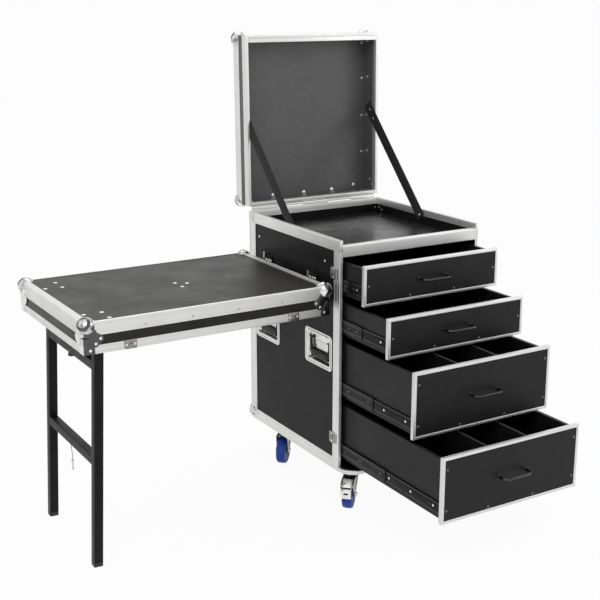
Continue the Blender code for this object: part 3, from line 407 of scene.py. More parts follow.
def lathe(profile, axis="z", sides=32):
    """A profile of (radius, height) points turned round an axis through the origin, closed at both ends."""
    loops = []
    for radius, height in profile:
        loop = []
        for k in range(sides):
            angle = 2 * math.pi * k / sides
            point = [radius * math.cos(angle), radius * math.sin(angle)]
            point.insert("xyz".index(axis), height)
            loop.append(point)
        loops.append(loop)
    return loft(loops)


def sweep(points, radius, sides=12):
    """A round bar along points, with flat ends."""
    rows = [Vector(point) for point in points]
    loops = []
    normal = None
    for k, place in enumerate(rows):
        along = (rows[min(k + 1, len(rows) - 1)] - rows[max(k - 1, 0)]).normalized()
        if normal is None:
            normal = along.orthogonal().normalized()
        normal = (normal - along * normal.dot(along)).normalized()
        side = along.cross(normal)
        loops.append([place + radius * (math.cos(a) * normal + math.sin(a) * side)
                      for a in (2 * math.pi * j / sides for j in range(sides))])
    return loft(loops)


def moved(mesh, place):
    """The mesh carried to a place, with its faces still outward after a mirror."""
    mesh.transform(place)
    if place.to_3x3().determinant() < 0:
        mesh.flip_normals()
    return mesh


def at(x, y, z):
    return Matrix.Translation((x, y, z))


def facing(place, normal, turn=0.0):
    """Axes at a place with +Z along a normal, and +Y kept upward where it can be."""
    z = Vector(normal).normalized()
    up = Vector((0.0, 0.0, 1.0)) if abs(z.z) < 0.9 else Vector((0.0, 1.0, 0.0))
    x = up.cross(z).normalized()
    y = z.cross(x)
    rows = Matrix((x, y, z)).transposed().to_4x4()
    return Matrix.Translation(place) @ rows @ Matrix.Rotation(turn, 4, "Z")


def arc(centre, radius, start, end, steps):
    """Points on an arc between two angles in degrees."""
    points = []
    for k in range(steps + 1):
        angle = math.radians(start + (end - start) * k / steps)
        points.append((centre[0] + radius * math.cos(angle), centre[1] + radius * math.sin(angle)))
    return points


def rounded(low, high, radius, steps=6):
    """A rectangle's outline with round corners."""
    r = min(radius, (high[0] - low[0]) / 2, (high[1] - low[1]) / 2)
    left, right, bottom, top = low[0] + r, high[0] - r, low[1] + r, high[1] - r
    points = []
    for k, centre in enumerate(((right, top), (left, top), (left, bottom), (right, bottom))):
        points += arc(centre, r, 90 * k, 90 * k + 90, steps)
    return points


def piece(name, parts, body, stands_for=(), place=None):
    """One piece of the scene from (mesh, material) parts, riding on a body."""
    finishes = []
    bm = bmesh.new()
    for shape, finish in parts:
        if finish not in finishes:
            finishes.append(finish)
        shape.polygons.foreach_set("material_index", [finishes.index(finish)] * len(shape.polygons))
        bm.from_mesh(shape)
        bpy.data.meshes.remove(shape)
    mesh = bpy.data.meshes.new(name)
    bm.to_mesh(mesh)
    bm.free()
    if place is not None:
        moved(mesh, place)
    for finish in finishes:
        mesh.materials.append(finish)
    mesh.shade_smooth()
    mesh.set_sharp_from_angle(angle=CREASE)
    made = add_object(name, mesh)
    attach(made, body)
    if stands_for:
        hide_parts(*stands_for)
    return made


# Folded profiles

def folded_section(points, sheet, marks=(), radius=0.0025):
    """The outline of a folded strip. Its outer face lies to the left of the path through points, which turns
    right at each corner, and marks are (place, width, rise) ridges or grooves along each stretch."""
    path = [Vector(point) for point in points]
    outer = []
    inner = []
    stretches = list(zip(path, path[1:]))
    for k, (a, b) in enumerate(stretches):
        along = (b - a).normalized()
        left = Vector((-along.y, along.x))
        length = (b - a).length
        if k > 0:
            before = (a - path[k - 1]).normalized()
            old_left = Vector((-before.y, before.x))
            centre = a + along * radius - left * radius
            for step in range(1, 4):
                share = step / 4
                direction = (old_left * math.cos(share * math.pi / 2) + left * math.sin(share * math.pi / 2))
                outer.append(centre + direction * radius)
            inner.append(a - old_left * sheet - left * sheet)
        else:
            inner.append(a - left * sheet)
        start = radius if k > 0 else 0.0
        end = length - radius if k < len(stretches) - 1 else length
        outer.append(a + along * start)
        for place, width, rise in (marks[k] if k < len(marks) else ()):
            for share, height in ((-0.5, 0.0), (-0.3, rise), (0.3, rise), (0.5, 0.0)):
                outer.append(a + along * (place + share * width) + left * height)
        outer.append(a + along * end)
    a, b = stretches[-1]
    left = Vector((-(b - a).normalized().y, (b - a).normalized().x))
    inner.append(b - left * sheet)
    return outer + list(reversed(inner))


def rail(outline, origin, along, out, up, length, mitres=(False, False)):
    """A section of (outward, upward) points run along an edge; a mitred end follows the neighbouring wall."""
    origin, along, out, up = Vector(origin), Vector(along), Vector(out), Vector(up)
    loops = []
    for end, mitre in enumerate(mitres):
        loop = []
        for o, h in outline:
            run = length + o * mitre if end else -o * mitre
            loop.append(origin + along * run + out * o + up * h)
        loops.append(loop)
    return loft(loops)


# Ridges and grooves of the folded profiles, on each stretch of their sections: (place, width, rise)
TOP_MARK = ((0.0063, 0.0020, -0.0004),)
FLANGE_MARK = ((0.010, 0.0014, -0.0005),)
RIM_MARKS = (((0.006, 0.0016, 0.0005), (0.020, 0.0012, -0.0006)), TOP_MARK, FLANGE_MARK)
FACE_MARKS = ((0.006, 0.0014, -0.0006), (0.018, 0.0018, 0.0006))
EDGE_MARKS = ((0.010, 0.0018, 0.0006), (0.036, 0.0014, -0.0006))
CASE_TOP_MARKS = (FLANGE_MARK, TOP_MARK, ((0.008, 0.0018, 0.0006), (0.031, 0.0014, -0.0006)))
CASE_FRONT_MARKS = (((0.0063, 0.0026, -0.0008),), ((0.0125, 0.0050, -0.0009), (0.030, 0.0014, 0.0005)))
CASE_REAR_MARKS = (((0.020, 0.0018, 0.0006),), ((0.010, 0.0018, 0.0006), (0.040, 0.0014, -0.0006)))
CASE_LOW_MARKS = (((0.010, 0.0014, -0.0006), (0.034, 0.0018, 0.0006)),)


def cover_rails(low, high, side_face=FACE_BAND):
    """Rim and edge profiles round a cover whose mouth is at the low end of the third axis. The long rails
    cover side_face of the cover's face."""
    depth = high.z - low.z
    rim = folded_section(((0.0, RIM_BAND), (0.0, 0.0), (-WALL, 0.0), (-WALL, RIM_FLANGE)), SKIN, RIM_MARKS)
    edges = []
    for face in (side_face, FACE_BAND):
        marks = (FACE_MARKS if face == FACE_BAND else (), EDGE_MARKS)
        edges.append(folded_section(((-face, depth), (0.0, depth), (0.0, depth - EDGE_BAND)), SKIN, marks))
    size = high - low
    up = (0, 0, 1)
    parts = {"x": [], "y": []}
    for outline in (rim, edges[0]):
        for sign, origin in ((-1, (low.x, low.y, low.z)), (1, (low.x, high.y, low.z))):
            parts["x"].append(rail(outline, origin, (1, 0, 0), (0, sign, 0), up, size.x, (True, True)))
    for outline in (rim, edges[1]):
        for sign, origin in ((-1, (low.x, low.y, low.z)), (1, (high.x, low.y, low.z))):
            parts["y"].append(rail(outline, origin, (0, 1, 0), (sign, 0, 0), up, size.y, (True, True)))
    return parts


# Small fasteners, standing up along +Z from the surface

def rivet_shape(radius=0.0045, rise=0.0016):
    profile = [(radius, 0.0), (radius, 0.25 * rise)]
    for k in range(1, 5):
        angle = k * math.pi / 10
        profile.append((radius * math.cos(angle), rise * (0.25 + 0.75 * math.sin(angle))))
    profile.append((0.12 * radius, rise))
    return [(lathe(profile, "z", 16), RIVET)]


def screw_shape(radius=0.0042, rise=0.0018, finish=None):
    """A pan head with a cross recess."""
    profile = [(radius, 0.0), (radius, 0.45 * rise), (0.86 * radius, 0.80 * rise), (0.60 * radius, rise),
               (0.05 * radius, rise)]
    parts = [(lathe(profile, "z", 16), finish or ZINC)]
    # The cross recess is two near black bars of painted shade.
    slot, reach = 0.16 * radius, 0.60 * radius
    for x, y in ((reach, slot), (slot, reach)):
        parts.append((block((-x, x), (-y, y), (0.6 * rise, rise + 0.0001), 0.0), RECESS_SHADE))
    return parts


def fasteners(name, places, body, slot, shape=rivet_shape, **size):
    """Several fasteners as one piece, from (place, normal) pairs, each turned a little further."""
    turn = 0.7
    parts = []
    for k, (place, normal) in enumerate(places):
        parts += carried(shape(**size), facing(place, normal, turn * k))
    return piece(name, parts, body)


# Ball corners: the corner point is the origin and the case fills the octant of positive x, y and z

def ball_shape():
    """A pressed ball, its middle a little inside the corner, with a shallow ring round its crown in a darker
    zinc that paints a dark reflection.
    """
    parts = []
    for start, end, steps, finish in ((0, 30, 5, MIRROR), (30, 52, 5, ZINC_SHADE_REFLECTION), (52, 180, 18, MIRROR)):
        profile = []
        for k in range(steps + 1):
            angle = math.radians(start + (end - start) * k / steps)
            radius = BALL_RADIUS - 0.0006 * (finish is ZINC_SHADE_REFLECTION and 0 < k < steps)
            profile.append((max(radius * math.sin(angle), 0.0002), -radius * math.cos(angle)))
        mesh = moved(lathe(profile, "z", 36), facing((BALL_INSET,) * 3, (1.0, 1.0, 1.0)))
        bm = bmesh.new()
        bm.from_mesh(mesh)
        hidden = [face for face in bm.faces if min(face.calc_center_median()) > 0.0106 or len(face.verts) > 4]
        bmesh.ops.delete(bm, geom=hidden, context="FACES")
        bm.to_mesh(mesh)
        bm.free()
        parts.append((mesh, finish))
    return parts


def lobe_outline(reach, waist, steps=5):
    """A corner plate's outline in its face: three lobes, one on each edge and one between them."""
    points = [(0.004, 0.004)]
    points += arc((reach - 0.008, 0.009), 0.008, -50, 110, steps)
    points += arc((waist, waist), 0.010, -15, 105, steps)
    points += arc((0.009, reach - 0.008), 0.008, -20, 140, steps)
    return points


def corner_rivet(axis, a, b, level, radius, rise):
    """A rivet on a corner plate's face, level outside the corner along an axis."""
    place = [a, b]
    place.insert("xyz".index(axis), -level)
    normal = [0.0, 0.0]
    normal.insert("xyz".index(axis), -1.0)
    return carried(rivet_shape(radius, rise), facing(place, normal))


def corner_parts(reach=0.043, waist=0.028, faces="xyz"):
    """The ball and its lobed plates, with two rivets on each plate."""
    sheet = 0.0016
    parts = ball_shape()
    for axis in faces:
        parts.append((prism(lobe_outline(reach, waist), axis, -sheet, 0.0004, 0.0006), CHROME))
        for a, b in ((reach - 0.009, 0.010), (0.010, reach - 0.009)):
            parts += corner_rivet(axis, a, b, sheet, 0.0034, 0.0014)
    return parts


def wide_plates():
    """The table corners' large lobed plates on both side faces, each over a lower corner plate."""
    lobe = [(0.003, 0.003), (0.031, 0.004), (0.036, 0.020), (0.045, 0.036)]
    lobe += arc((0.055, 0.055), 0.011, -65, 60, 6) + arc((0.039, 0.070), 0.011, 15, 130, 6)
    lobe += [(0.025, 0.060), (0.015, 0.050), (0.003, 0.046)]
    lower = [(0.0006, 0.0500), (0.0140, 0.0515), (0.0250, 0.0600), (0.0340, 0.0740), (0.0360, 0.0800),
             (0.0360, 0.1022), (0.0006, 0.1022)]
    parts = []
    # The near faces take the near black zinc as painted reflection, the end faces the bright zinc.
    for axis, finish in (("x", CHROME), ("y", ZINC_SHADE_REFLECTION)):
        parts.append((prism(lower, axis, -0.0011, 0.0004, 0.0005), finish))
        parts.append((prism(lobe, axis, -0.0022, 0.0004, 0.0007), finish))
        for a, b, level in ((0.055, 0.055, 0.0021), (0.039, 0.070, 0.0021), (0.021, 0.090, 0.0010)):
            parts += corner_rivet(axis, a, b, level, 0.0048, 0.0018)
    return parts


def corner_axes(x, y, z, sx, sy, sz):
    """Axes at a corner whose solid lies toward the given signs."""
    return Matrix.Translation((x, y, z)) @ Matrix.Diagonal((sx, sy, sz, 1.0))


def cover_corners(low, high):
    """The four corners of a cover's closed face, numbered."""
    corners = []
    for sx, x in ((1, low.x), (-1, high.x)):
        for sy, y in ((1, low.y), (-1, high.y)):
            corners.append((len(corners) + 1, corner_axes(x, y, high.z, sx, sy, -1)))
    return corners


def carried(parts, place):
    return [(moved(mesh, place), finish) for mesh, finish in parts]


# Cord, first of the pieces

def smooth_route(points, step):
    """Points a step apart along a smooth curve through the given points."""
    fine = []
    rows = [Vector(p) for p in points]
    rows = [2 * rows[0] - rows[1]] + rows + [2 * rows[-1] - rows[-2]]
    for a, b, c, d in zip(rows, rows[1:], rows[2:], rows[3:]):
        for k in range(8):
            t = k / 8
            fine.append(0.5 * (2 * b + (c - a) * t + (2 * a - 5 * b + 4 * c - d) * t * t
                               + (3 * b - a - 3 * c + d) * t * t * t))
    fine.append(rows[-2])
    total = sum((b - a).length for a, b in zip(fine, fine[1:]))
    count = max(2, round(total / step))
    route = [fine[0]]
    walked = 0.0
    for a, b in zip(fine, fine[1:]):
        walked += (b - a).length
        if walked >= total * len(route) / count and len(route) < count:
            route.append(b)
    route.append(fine[-1])
    return route


def make_lanyard():
    """The wire lanyard with a crimp at its upper end, and the locking pin on its lower end."""
    anchor = LEGS_PLACE @ Vector((0.0, LANYARD_PLACE_Y, -MID_BAR_DROP - LEG_TUBE / 2 - GAP))
    lean = Vector((0.0, 0.0, LANYARD_DIAMETER / 2 * math.sin(LEG_TILT)))
    route = [anchor + point - lean for point in smooth_route(LANYARD_ROUTE, 2.5 * LANYARD_DIAMETER)]
    curve = bpy.data.curves.new("pin_lanyard_wire", "CURVE")
    curve.dimensions = "3D"
    curve.bevel_depth = LANYARD_DIAMETER / 2
    curve.bevel_resolution = 4
    curve.use_fill_caps = True
    spline = curve.splines.new("POLY")
    spline.points.add(len(route) - 1)
    for slot, point in zip(spline.points, route):
        slot.co = (*point, 1.0)
    curve.materials.append(WIRE)
    wire = add_object("pin_lanyard_wire", curve)
    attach(wire, "folding_legs")
    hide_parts("pin_lanyard")
    end = at(route[-1].x, route[-1].y, route[-1].z - GAP)
    crimp = [(0.0012, -0.0050), (0.0024, -0.0046), (0.0024, 0.0), (0.0012, 0.0004)]
    shaft = [(0.0018, -0.0363), (0.0030, -0.0345), (0.0030, -0.0145), (0.0025, -0.0140), (0.0025, -0.0120),
             (0.0030, -0.0115), (0.0030, -0.0062), (0.0040, -0.0060), (0.0045, -0.0045), (0.0045, 0.0)]
    pin_parts = [(moved(lathe(shaft, "z", 24), end), ZINC)]
    grips = 10
    for k in range(grips):
        turn = Matrix.Rotation(2 * math.pi * k / grips, 4, "Z")
        bar = block((0.0042, 0.0049), (-0.0005, 0.0005), (-0.0042, -0.0006), 0.0002, 1)
        pin_parts.append((moved(bar, end @ turn), ZINC))
    pin = piece("lock_pin_turned", pin_parts, "folding_legs", ("leg_lock_pin",))
    sleeve = moved(lathe(crimp, "z", 16), at(anchor.x, anchor.y, anchor.z))
    upper = piece("lanyard_upper_crimp", [(sleeve, DARK_ZINC)], "folding_legs")


# Floor and light

def make_stage():
    """A floor that keeps the part's shadow and is near white to the camera and in reflections."""
    bm = bmesh.new()
    bmesh.ops.create_grid(bm, x_segments=1, y_segments=1, size=FLOOR_HALF_SIZE)
    mesh = as_mesh(bm)
    mesh.transform(at(0.0, 0.0, FLOOR_Z))
    floor = add_object("studio_floor", mesh)
    made = Shader("pale_floor", (0.90, 0.90, 0.90), 0.85)
    made.bump(made.noise(60.0, 3.0), 0.02, 0.0005)
    camera_ray = made.node("LightPath", "Is Camera Ray", {})
    seen = made.sum(camera_ray, camera_ray.node.outputs["Is Glossy Ray"], "MAXIMUM")
    share = made.sum(seen, FLOOR_SEEN_WHITE, "MULTIPLY")
    glow = made.node("Emission", "Emission", {"Color": (1.0, 1.0, 1.0, 1.0), "Strength": 1.0})
    mix = made.node("MixShader", "Shader", {"Fac": share, 1: made.bsdf.outputs["BSDF"], 2: glow})
    made.put(made.tree.nodes["Material Output"], {"Surface": mix})
    mesh.materials.append(made.material)


def make_world():
    """White where the camera, glass and metal see it, and a softer white as light."""
    world = bpy.data.worlds.new("studio")
    world.use_nodes = True
    bpy.context.scene.world = world
    tree = world.node_tree
    back = tree.nodes["Background"]
    back.inputs["Color"].default_value = (1.0, 1.0, 1.0, 1.0)
    path = tree.nodes.new("ShaderNodeLightPath")
    seen = tree.nodes.new("ShaderNodeMath")
    seen.operation = "MAXIMUM"
    tree.links.new(path.outputs["Is Camera Ray"], seen.inputs[0])
    tree.links.new(path.outputs["Is Glossy Ray"], seen.inputs[1])
    level = tree.nodes.new("ShaderNodeMapRange")
    level.inputs["To Min"].default_value = WORLD_LIGHT
    level.inputs["To Max"].default_value = 1.0
    tree.links.new(seen.outputs["Value"], level.inputs["Value"])
    tree.links.new(level.outputs["Result"], back.inputs["Strength"])


def make_light(name, place, aim, size, power):
    data = bpy.data.lights.new(name, "AREA")
    data.shape = "RECTANGLE"
    data.size, data.size_y = size
    data.energy = power
    lamp = add_object(name, data)
    lamp.location = place
    lamp.rotation_euler = (Vector(aim) - Vector(place)).to_track_quat("-Z", "Y").to_euler()


def make_lights():
    make_light("key_softbox", (-2.6, -2.6, 3.6), (-0.3, -0.2, 0.4), (2.4, 2.4), 50.0)
    make_light("side_softbox", (3.4, -2.4, 1.9), (0.0, -0.3, 0.4), (1.8, 2.6), 26.0)
    make_light("top_softbox", (0.4, 1.2, 3.9), (-0.2, 0.0, 0.5), (2.6, 1.8), 30.0)


# The case body

def make_case_profiles():
    right, back, up = (1, 0, 0), (0, 1, 0), (0, 0, 1)
    height = CASE_TOP - TOP_RAIL
    rim = ((-WALL, -RIM_FLANGE), (-WALL, 0.0), (0.0, 0.0), (0.0, -TOP_RAIL))
    top = folded_section(rim, SKIN, CASE_TOP_MARKS)
    front = folded_section(((-WALL, 0.0), (0.0, 0.0), (0.0, -FRONT_PROFILE)), SKIN, CASE_FRONT_MARKS)
    rear = folded_section(((-BACK_PROFILE, 0.0), (0.0, 0.0), (0.0, -REAR_PROFILE)), SKIN, CASE_REAR_MARKS)
    flat = folded_section(((0.0, BOTTOM_RAIL), (0.0, 0.0)), SKIN, CASE_LOW_MARKS)
    start = FRONT + SKIN + GAP
    low = FRONT + FRONT_PROFILE + GAP
    run = BACK - REAR_PROFILE - GAP - low
    parts = []
    for sign, _ in SIDES:
        x = sign * HALF_W
        out = (sign, 0, 0)
        parts.append((rail(top, (x, start, CASE_TOP), back, out, up, BACK - start, (False, True)), ALU["y"]))
        parts.append((rail(front, (x, FRONT, 0.0), up, out, (0, -1, 0), height), ALU["z"]))
        parts.append((rail(rear, (x, BACK, 0.0), up, out, back, height), ALU["z"]))
        cap = sorted((x, x - sign * WALL))
        parts.append((block(cap, (FRONT, start - GAP), (height, CASE_TOP), 0.0006), ALU["z"]))
        parts.append((rail(flat, (x, low, 0.0), back, out, up, run), ALU["y"]))
    across = rail(top, (-HALF_W, BACK, CASE_TOP), right, back, up, 2 * HALF_W, (True, True))
    parts.append((across, ALU["x"]))
    reach = HALF_W - BACK_PROFILE - GAP
    parts.append((rail(flat, (-reach, BACK, 0.0), right, back, up, 2 * reach), ALU["x"]))
    piece("case_profiles", parts, "case_body", ("case_edge_frame",))
    ball_height = 0.018
    for sign, word in SIDES:
        axes = corner_axes(sign * HALF_W, BACK, ball_height, -sign, -1, 1)
        parts = carried(corner_parts(reach=0.056, waist=0.036, faces="xy"), axes)
        piece("case_%s_ball_corner" % word, parts, "case_body")
    outline = rounded((0.001, 0.001), (0.036, 0.040), 0.004, 4)
    for sign, word in SIDES:
        axes = corner_axes(sign * HALF_W, BACK, CASE_TOP, -sign, -1, -1)
        plates = []
        for axis in "xy":
            plates.append((prism(outline, axis, -0.0011, 0.0004, 0.0004), ZINC))
            for a, b in ((0.010, 0.010), (0.027, 0.012), (0.012, 0.031)):
                plates += corner_rivet(axis, a, b, 0.0010, 0.0036, 0.0014)
        piece("case_%s_top_plate" % word, carried(plates, axes), "case_body")


def make_crossbeam():
    """An extruded beam with grooves along its face and a rounded top edge, and a darker, rougher strip in
    each groove as painted shade.
    """
    low, high = BEAM_TOP - 0.040, BEAM_TOP
    depth, sheet, inside = 0.022, 0.002, 0.0036
    groove_count, groove_pitch, groove_depth = 5, 0.0070, 0.0016
    grooves = [low + 0.0045 + k * groove_pitch for k in range(groove_count)]
    section = [(depth, low), (0.0015, low), (0.0, low + 0.0015)]
    for z in grooves:
        section += [(0.0, z), (groove_depth, z + 0.0003), (groove_depth, z + 0.0017), (0.0, z + 0.0020)]
    section += [(0.0, high - 0.0020), (0.0006, high - 0.0006), (0.0020, high), (depth, high),
                (depth, high - sheet), (inside, high - sheet), (inside, low + sheet), (depth, low + sheet)]
    outline = [(FRONT + y, z) for y, z in section]
    reach = RIM_IN - GAP
    parts = [(prism(outline, "x", -reach, reach), ALU["x"])]
    for z in grooves:
        # A strip of painted shade in each groove.
        seam = block((-reach, reach), (FRONT + 0.0007, FRONT + 0.0018), (z + 0.0001, z + 0.0019), 0.0)
        parts.append((seam, GROOVE_SHADE))
    piece("crossbeam_profile", parts, "case_body", ("front_crossbeam",))


def make_base_trim():
    """A bent aluminium angle round the base board's lip."""
    radius = 0.066
    section = ((0.0, 0.0), (0.0013, 0.0), (0.0013, 0.0125), (0.0100, 0.0125), (0.0100, 0.0134),
               (0.0096, 0.0138), (0.0064, 0.0138), (0.0060, 0.0142), (0.0050, 0.0142), (0.0046, 0.0138),
               (0.0016, 0.0138), (0.0005, 0.0134), (0.0, 0.0124), (0.0, 0.0080), (0.0004, 0.0076),
               (0.0004, 0.0064), (0.0, 0.0060))
    loops = []
    for sign, start in ((-1, 180), (1, 270)):
        for angle in range(start, start + 91, 6):
            turn = math.radians(angle)
            loop = []
            for inset, height in section:
                x = sign * (HALF_W - radius) + (radius - inset) * math.cos(turn)
                y = FRONT + (radius - inset) * math.sin(turn)
                loop.append((x, min(y, FRONT - GAP), height))
            loops.append(loop)
    piece("base_trim_angle", [(loft(loops), ALU["x"])], "case_body", ("base_lip_trim",))


def dish_loops(side, centre_y, rows):
    """Round-cornered outlines on the side panel, one for each (inset, rise, corner radius)."""
    loops = []
    for inset, rise, radius in rows:
        half_y, half_z = DISH_HALF_Y - inset, DISH_HALF_Z - inset
        low = (centre_y - half_y, DISH_CENTRE_Z - half_z)
        high = (centre_y + half_y, DISH_CENTRE_Z + half_z)
        x = side * (PANEL_OUT + GAP + rise)
        loops.append([(x, y, z) for y, z in rounded(low, high, radius)])
    return loops


def make_handle(side, word, place, centre_y):
    """A pressed dish with an embossed row, and its sprung bail with a ribbed grip."""
    name = "%s_%s" % (word, place)
    dish = ((0.0250, -0.0139, 0.004), (0.0212, -0.0136, 0.005), (0.0195, -0.0115, 0.006),
            (0.0168, -0.0010, 0.006), (0.0158, 0.0012, 0.006), (0.0140, 0.0020, 0.007),
            (0.0088, 0.0021, 0.009), (0.0076, 0.0014, 0.010), (0.0062, 0.0014, 0.011),
            (0.0050, 0.0021, 0.012), (0.0008, 0.0019, 0.0155), (0.0, 0.0011, 0.016), (0.0, 0.0, 0.016))
    back = ((0.0150, 0.0, 0.007), (0.0205, -0.0149, 0.006), (0.0262, -0.0150, 0.004))
    line = ((0.0062, 0.0016, 0.011), (0.0062, 0.0018, 0.011), (0.0080, 0.0018, 0.010),
            (0.0080, 0.0016, 0.010))
    # The dark band at the dish's step is painted shade.
    parts = [(loft(dish_loops(side, centre_y, dish + back)), PRESSED),
             (loft(dish_loops(side, centre_y, line), closed=True), ZINC_SHADE_REFLECTION)]
    face = side * (PANEL_OUT + GAP + 0.0020)
    dashes, dash_pitch, dash_rise = 9, 0.0150, 0.0565
    dash_span = sorted((face - side * 0.0006, face + side * 0.0007))
    for k in range(dashes):
        y = centre_y + (k - (dashes - 1) / 2) * dash_pitch
        z = DISH_CENTRE_Z + dash_rise
        outline = rounded((y - 0.0042, z - 0.0013), (y + 0.0042, z + 0.0013), 0.0012, 3)
        parts.append((prism(outline, "x", *dash_span, 0.0003, 1), DARK_ZINC))
    rivet_y, rivet_z = 0.079, 0.055
    for y, z in ((-rivet_y, rivet_z), (rivet_y, rivet_z), (-rivet_y, -rivet_z), (rivet_y, -rivet_z)):
        axes = facing((face, centre_y + y, DISH_CENTRE_Z + z), (side, 0.0, 0.0))
        parts += carried(rivet_shape(0.0036, 0.0014), axes)
    floor = side * (PANEL_OUT - 0.0135)
    # Below the raised pressed floor, a near black strip paints the shade under the grip.
    for rise, half, low, high, soft, finish in ((0.0015, 0.045, -0.004, 0.022, 0.0006, PRESSED),
                                                (0.0007, 0.058, -0.040, -0.010, 0.0003, RECESS_SHADE)):
        span = sorted((floor, floor + side * rise))
        height = (DISH_CENTRE_Z + low, DISH_CENTRE_Z + high)
        parts.append((block(span, (centre_y - half, centre_y + half), height, soft), finish))
    piece(name + "_handle_plate", parts, "case_body", (name + "_handle_dish",))

    depth = PANEL_OUT - 0.00685
    pivot_z = DISH_CENTRE_Z + 0.030
    grip_drop, grip_flatness = 0.055, 2.3
    ribs = 13
    pitch = 0.1080 / ribs
    profile = [(0.0020, -0.0560), (0.0056, -0.0556)]
    for k in range(ribs):
        y = -0.0540 + k * pitch
        profile += [(0.0053, y), (0.0062, y + 0.25 * pitch), (0.0062, y + 0.75 * pitch), (0.0053, y + pitch)]
    profile += [(0.0056, 0.0556), (0.0020, 0.0560)]
    axes = at(side * depth, centre_y, pivot_z - grip_drop) @ Matrix.Diagonal((1.0, 1.0, grip_flatness, 1.0))
    parts = [(moved(lathe(profile, "y", 24), axes), GRIP)]
    strut = ((0.0550, 0.0036), (0.0640, 0.0036), (0.0630, -0.0560), (0.0440, -0.0560), (0.0480, -0.0400),
             (0.0545, -0.0250))
    strut_span = sorted((side * (depth - 0.0026), side * (depth + 0.0026)))
    for sign in (-1, 1):
        outline = [(centre_y + sign * a, pivot_z + b) for a, b in strut]
        parts.append((prism(outline, "x", *strut_span, 0.0010), BLACK_STEEL))
        rod = [(side * depth, centre_y + sign * a, pivot_z) for a in (0.0500, 0.0670)]
        parts.append((sweep(rod, 0.0033), BLACK_STEEL))
    piece(name + "_handle_bail_dressed", parts, name + "_handle_bail", (name + "_handle",))


def make_hook(word, centre_y, tab_low, tab_high):
    """A J bracket with three screws and an upright bright tab."""
    x = -PANEL_OUT - GAP
    sheet, half = 0.003, 0.030
    top, floor, lip_height = 0.692, 0.5862, 0.014
    table_wall = -0.342
    lip = table_wall - 2 * SKIN - PANEL - 3 * GAP
    outline = ((x, top), (x - sheet, top), (x - sheet, floor), (lip, floor), (lip, floor + lip_height),
               (lip - sheet, floor + lip_height), (lip - sheet, floor - sheet), (x, floor - sheet))
    parts = [(prism(outline, "y", centre_y - half, centre_y + half, 0.0009), BLACK_STEEL)]
    outline = rounded((centre_y + 0.0200, tab_low), (centre_y + 0.0290, tab_high), 0.0030, 4)
    parts.append((prism(outline, "x", x - 0.0075, x - 0.0025, 0.0006), RIVET))
    piece("table_hook_%s_bracket" % word, parts, "case_body", ("table_hook_" + word,))
    screws = ((-0.020, 0.674), (-0.004, 0.6735), (0.013, 0.673))
    places = [((x - sheet, centre_y + dy, z), (-1, 0, 0)) for dy, z in screws]
    fasteners("table_hook_%s_screws" % word, places, "case_body", "zinc", radius=0.0056, rise=0.0034)


def keeper_parts(half_a, half_b, cut):
    """A keeper plate lying in x, y and standing up along z: two rivets and a raised middle with a slot."""
    sheet = 0.0022
    a, b = half_a - cut, half_b - cut
    corners = ((half_a, b), (a, half_b), (-a, half_b), (-half_a, b),
               (-half_a, -b), (-a, -half_b), (a, -half_b), (half_a, -b))
    middle = rounded((-0.0075, -0.0060), (0.0075, 0.0080), 0.003)
    # The slot is a near black block of painted shade.
    slot = block((-0.0045, 0.0045), (0.0005, 0.0030), (sheet + 0.0012, sheet + 0.0024), 0.0002, 1)
    parts = [(prism(corners, "z", 0.0, sheet, 0.0005), DARK_ZINC),
             (prism(middle, "z", sheet - 0.0005, sheet + 0.0022, 0.0009), DARK_ZINC), (slot, RECESS_SHADE)]
    for x in (-half_a + 0.0065, half_a - 0.0065):
        parts += carried(rivet_shape(0.0036, 0.0014), at(x, -0.0010, sheet))
    return parts


def make_side_details():
    """The panel screws, keeper plates with their slots and tray rivets of both sides."""
    for side, word in SIDES:
        inward, outward = (-side, 0, 0), (side, 0, 0)
        places = [((side * 0.2824, 0.3092, 0.7991), (0, -1, 0)), ((side * PANEL_IN, 0.292, 0.8004), inward),
                  ((side * PANEL_IN, 0.2752, 0.791), inward)]
        fasteners(word + "_tray_rivets", places, "case_body", "zinc", radius=0.0036)
        face = side * PANEL_OUT
        places = [((face, 0.2435, 0.751), outward), ((face, -0.223, 0.749), outward)]
        fasteners(word + "_panel_screws", places, "case_body", "zinc", radius=0.0046)
        for z, level in ((0.719, "upper"), (0.118, "lower")):
            axes = facing((side * HALF_W, -0.2815, z), outward, math.pi / 2)
            parts = carried(keeper_parts(0.0215, 0.0165, 0.005), axes)
            # The slot in the panel is a near black plate of painted shade.
            slot = rounded((-0.3095, z - 0.018), (-0.3050, z + 0.018), 0.0022, 4)
            span = sorted((side * (HALF_W - 0.0004), side * (HALF_W + 0.0003)))
            parts.append((prism(slot, "x", *span), RECESS_SHADE))
            piece("%s_%s_keeper" % (word, level), parts, "case_body")


# The lid

def swap_axes():
    """Carries (across, height, mouth to face) to the lid's own x, z and y."""
    return Matrix(((1, 0, 0, 0), (0, 0, 1, 0), (0, 1, 0, 0), (0, 0, 0, 1)))


def make_lid():
    place = LID_PLACE @ swap_axes()
    rails = cover_rails(LID_LOW, LID_HIGH)
    parts = [(mesh, ALU["x"]) for mesh in rails["x"]] + [(mesh, ALU["z"]) for mesh in rails["y"]]
    reach = HALF_W - WALL
    high = LID_HIGH.y - WALL
    strip = block((-reach, reach), (high - 0.0150, high), (LID_LOW.z, LID_LOW.z + SKIN), 0.0005)
    parts.append((strip, ALU["x"]))
    piece("lid_profiles", parts, "lid", ("lid_edge_frame",), place)
    for number, axes in cover_corners(LID_LOW, LID_HIGH):
        piece("lid_ball_corner_%d" % number, carried(corner_parts(), place @ axes), "lid")


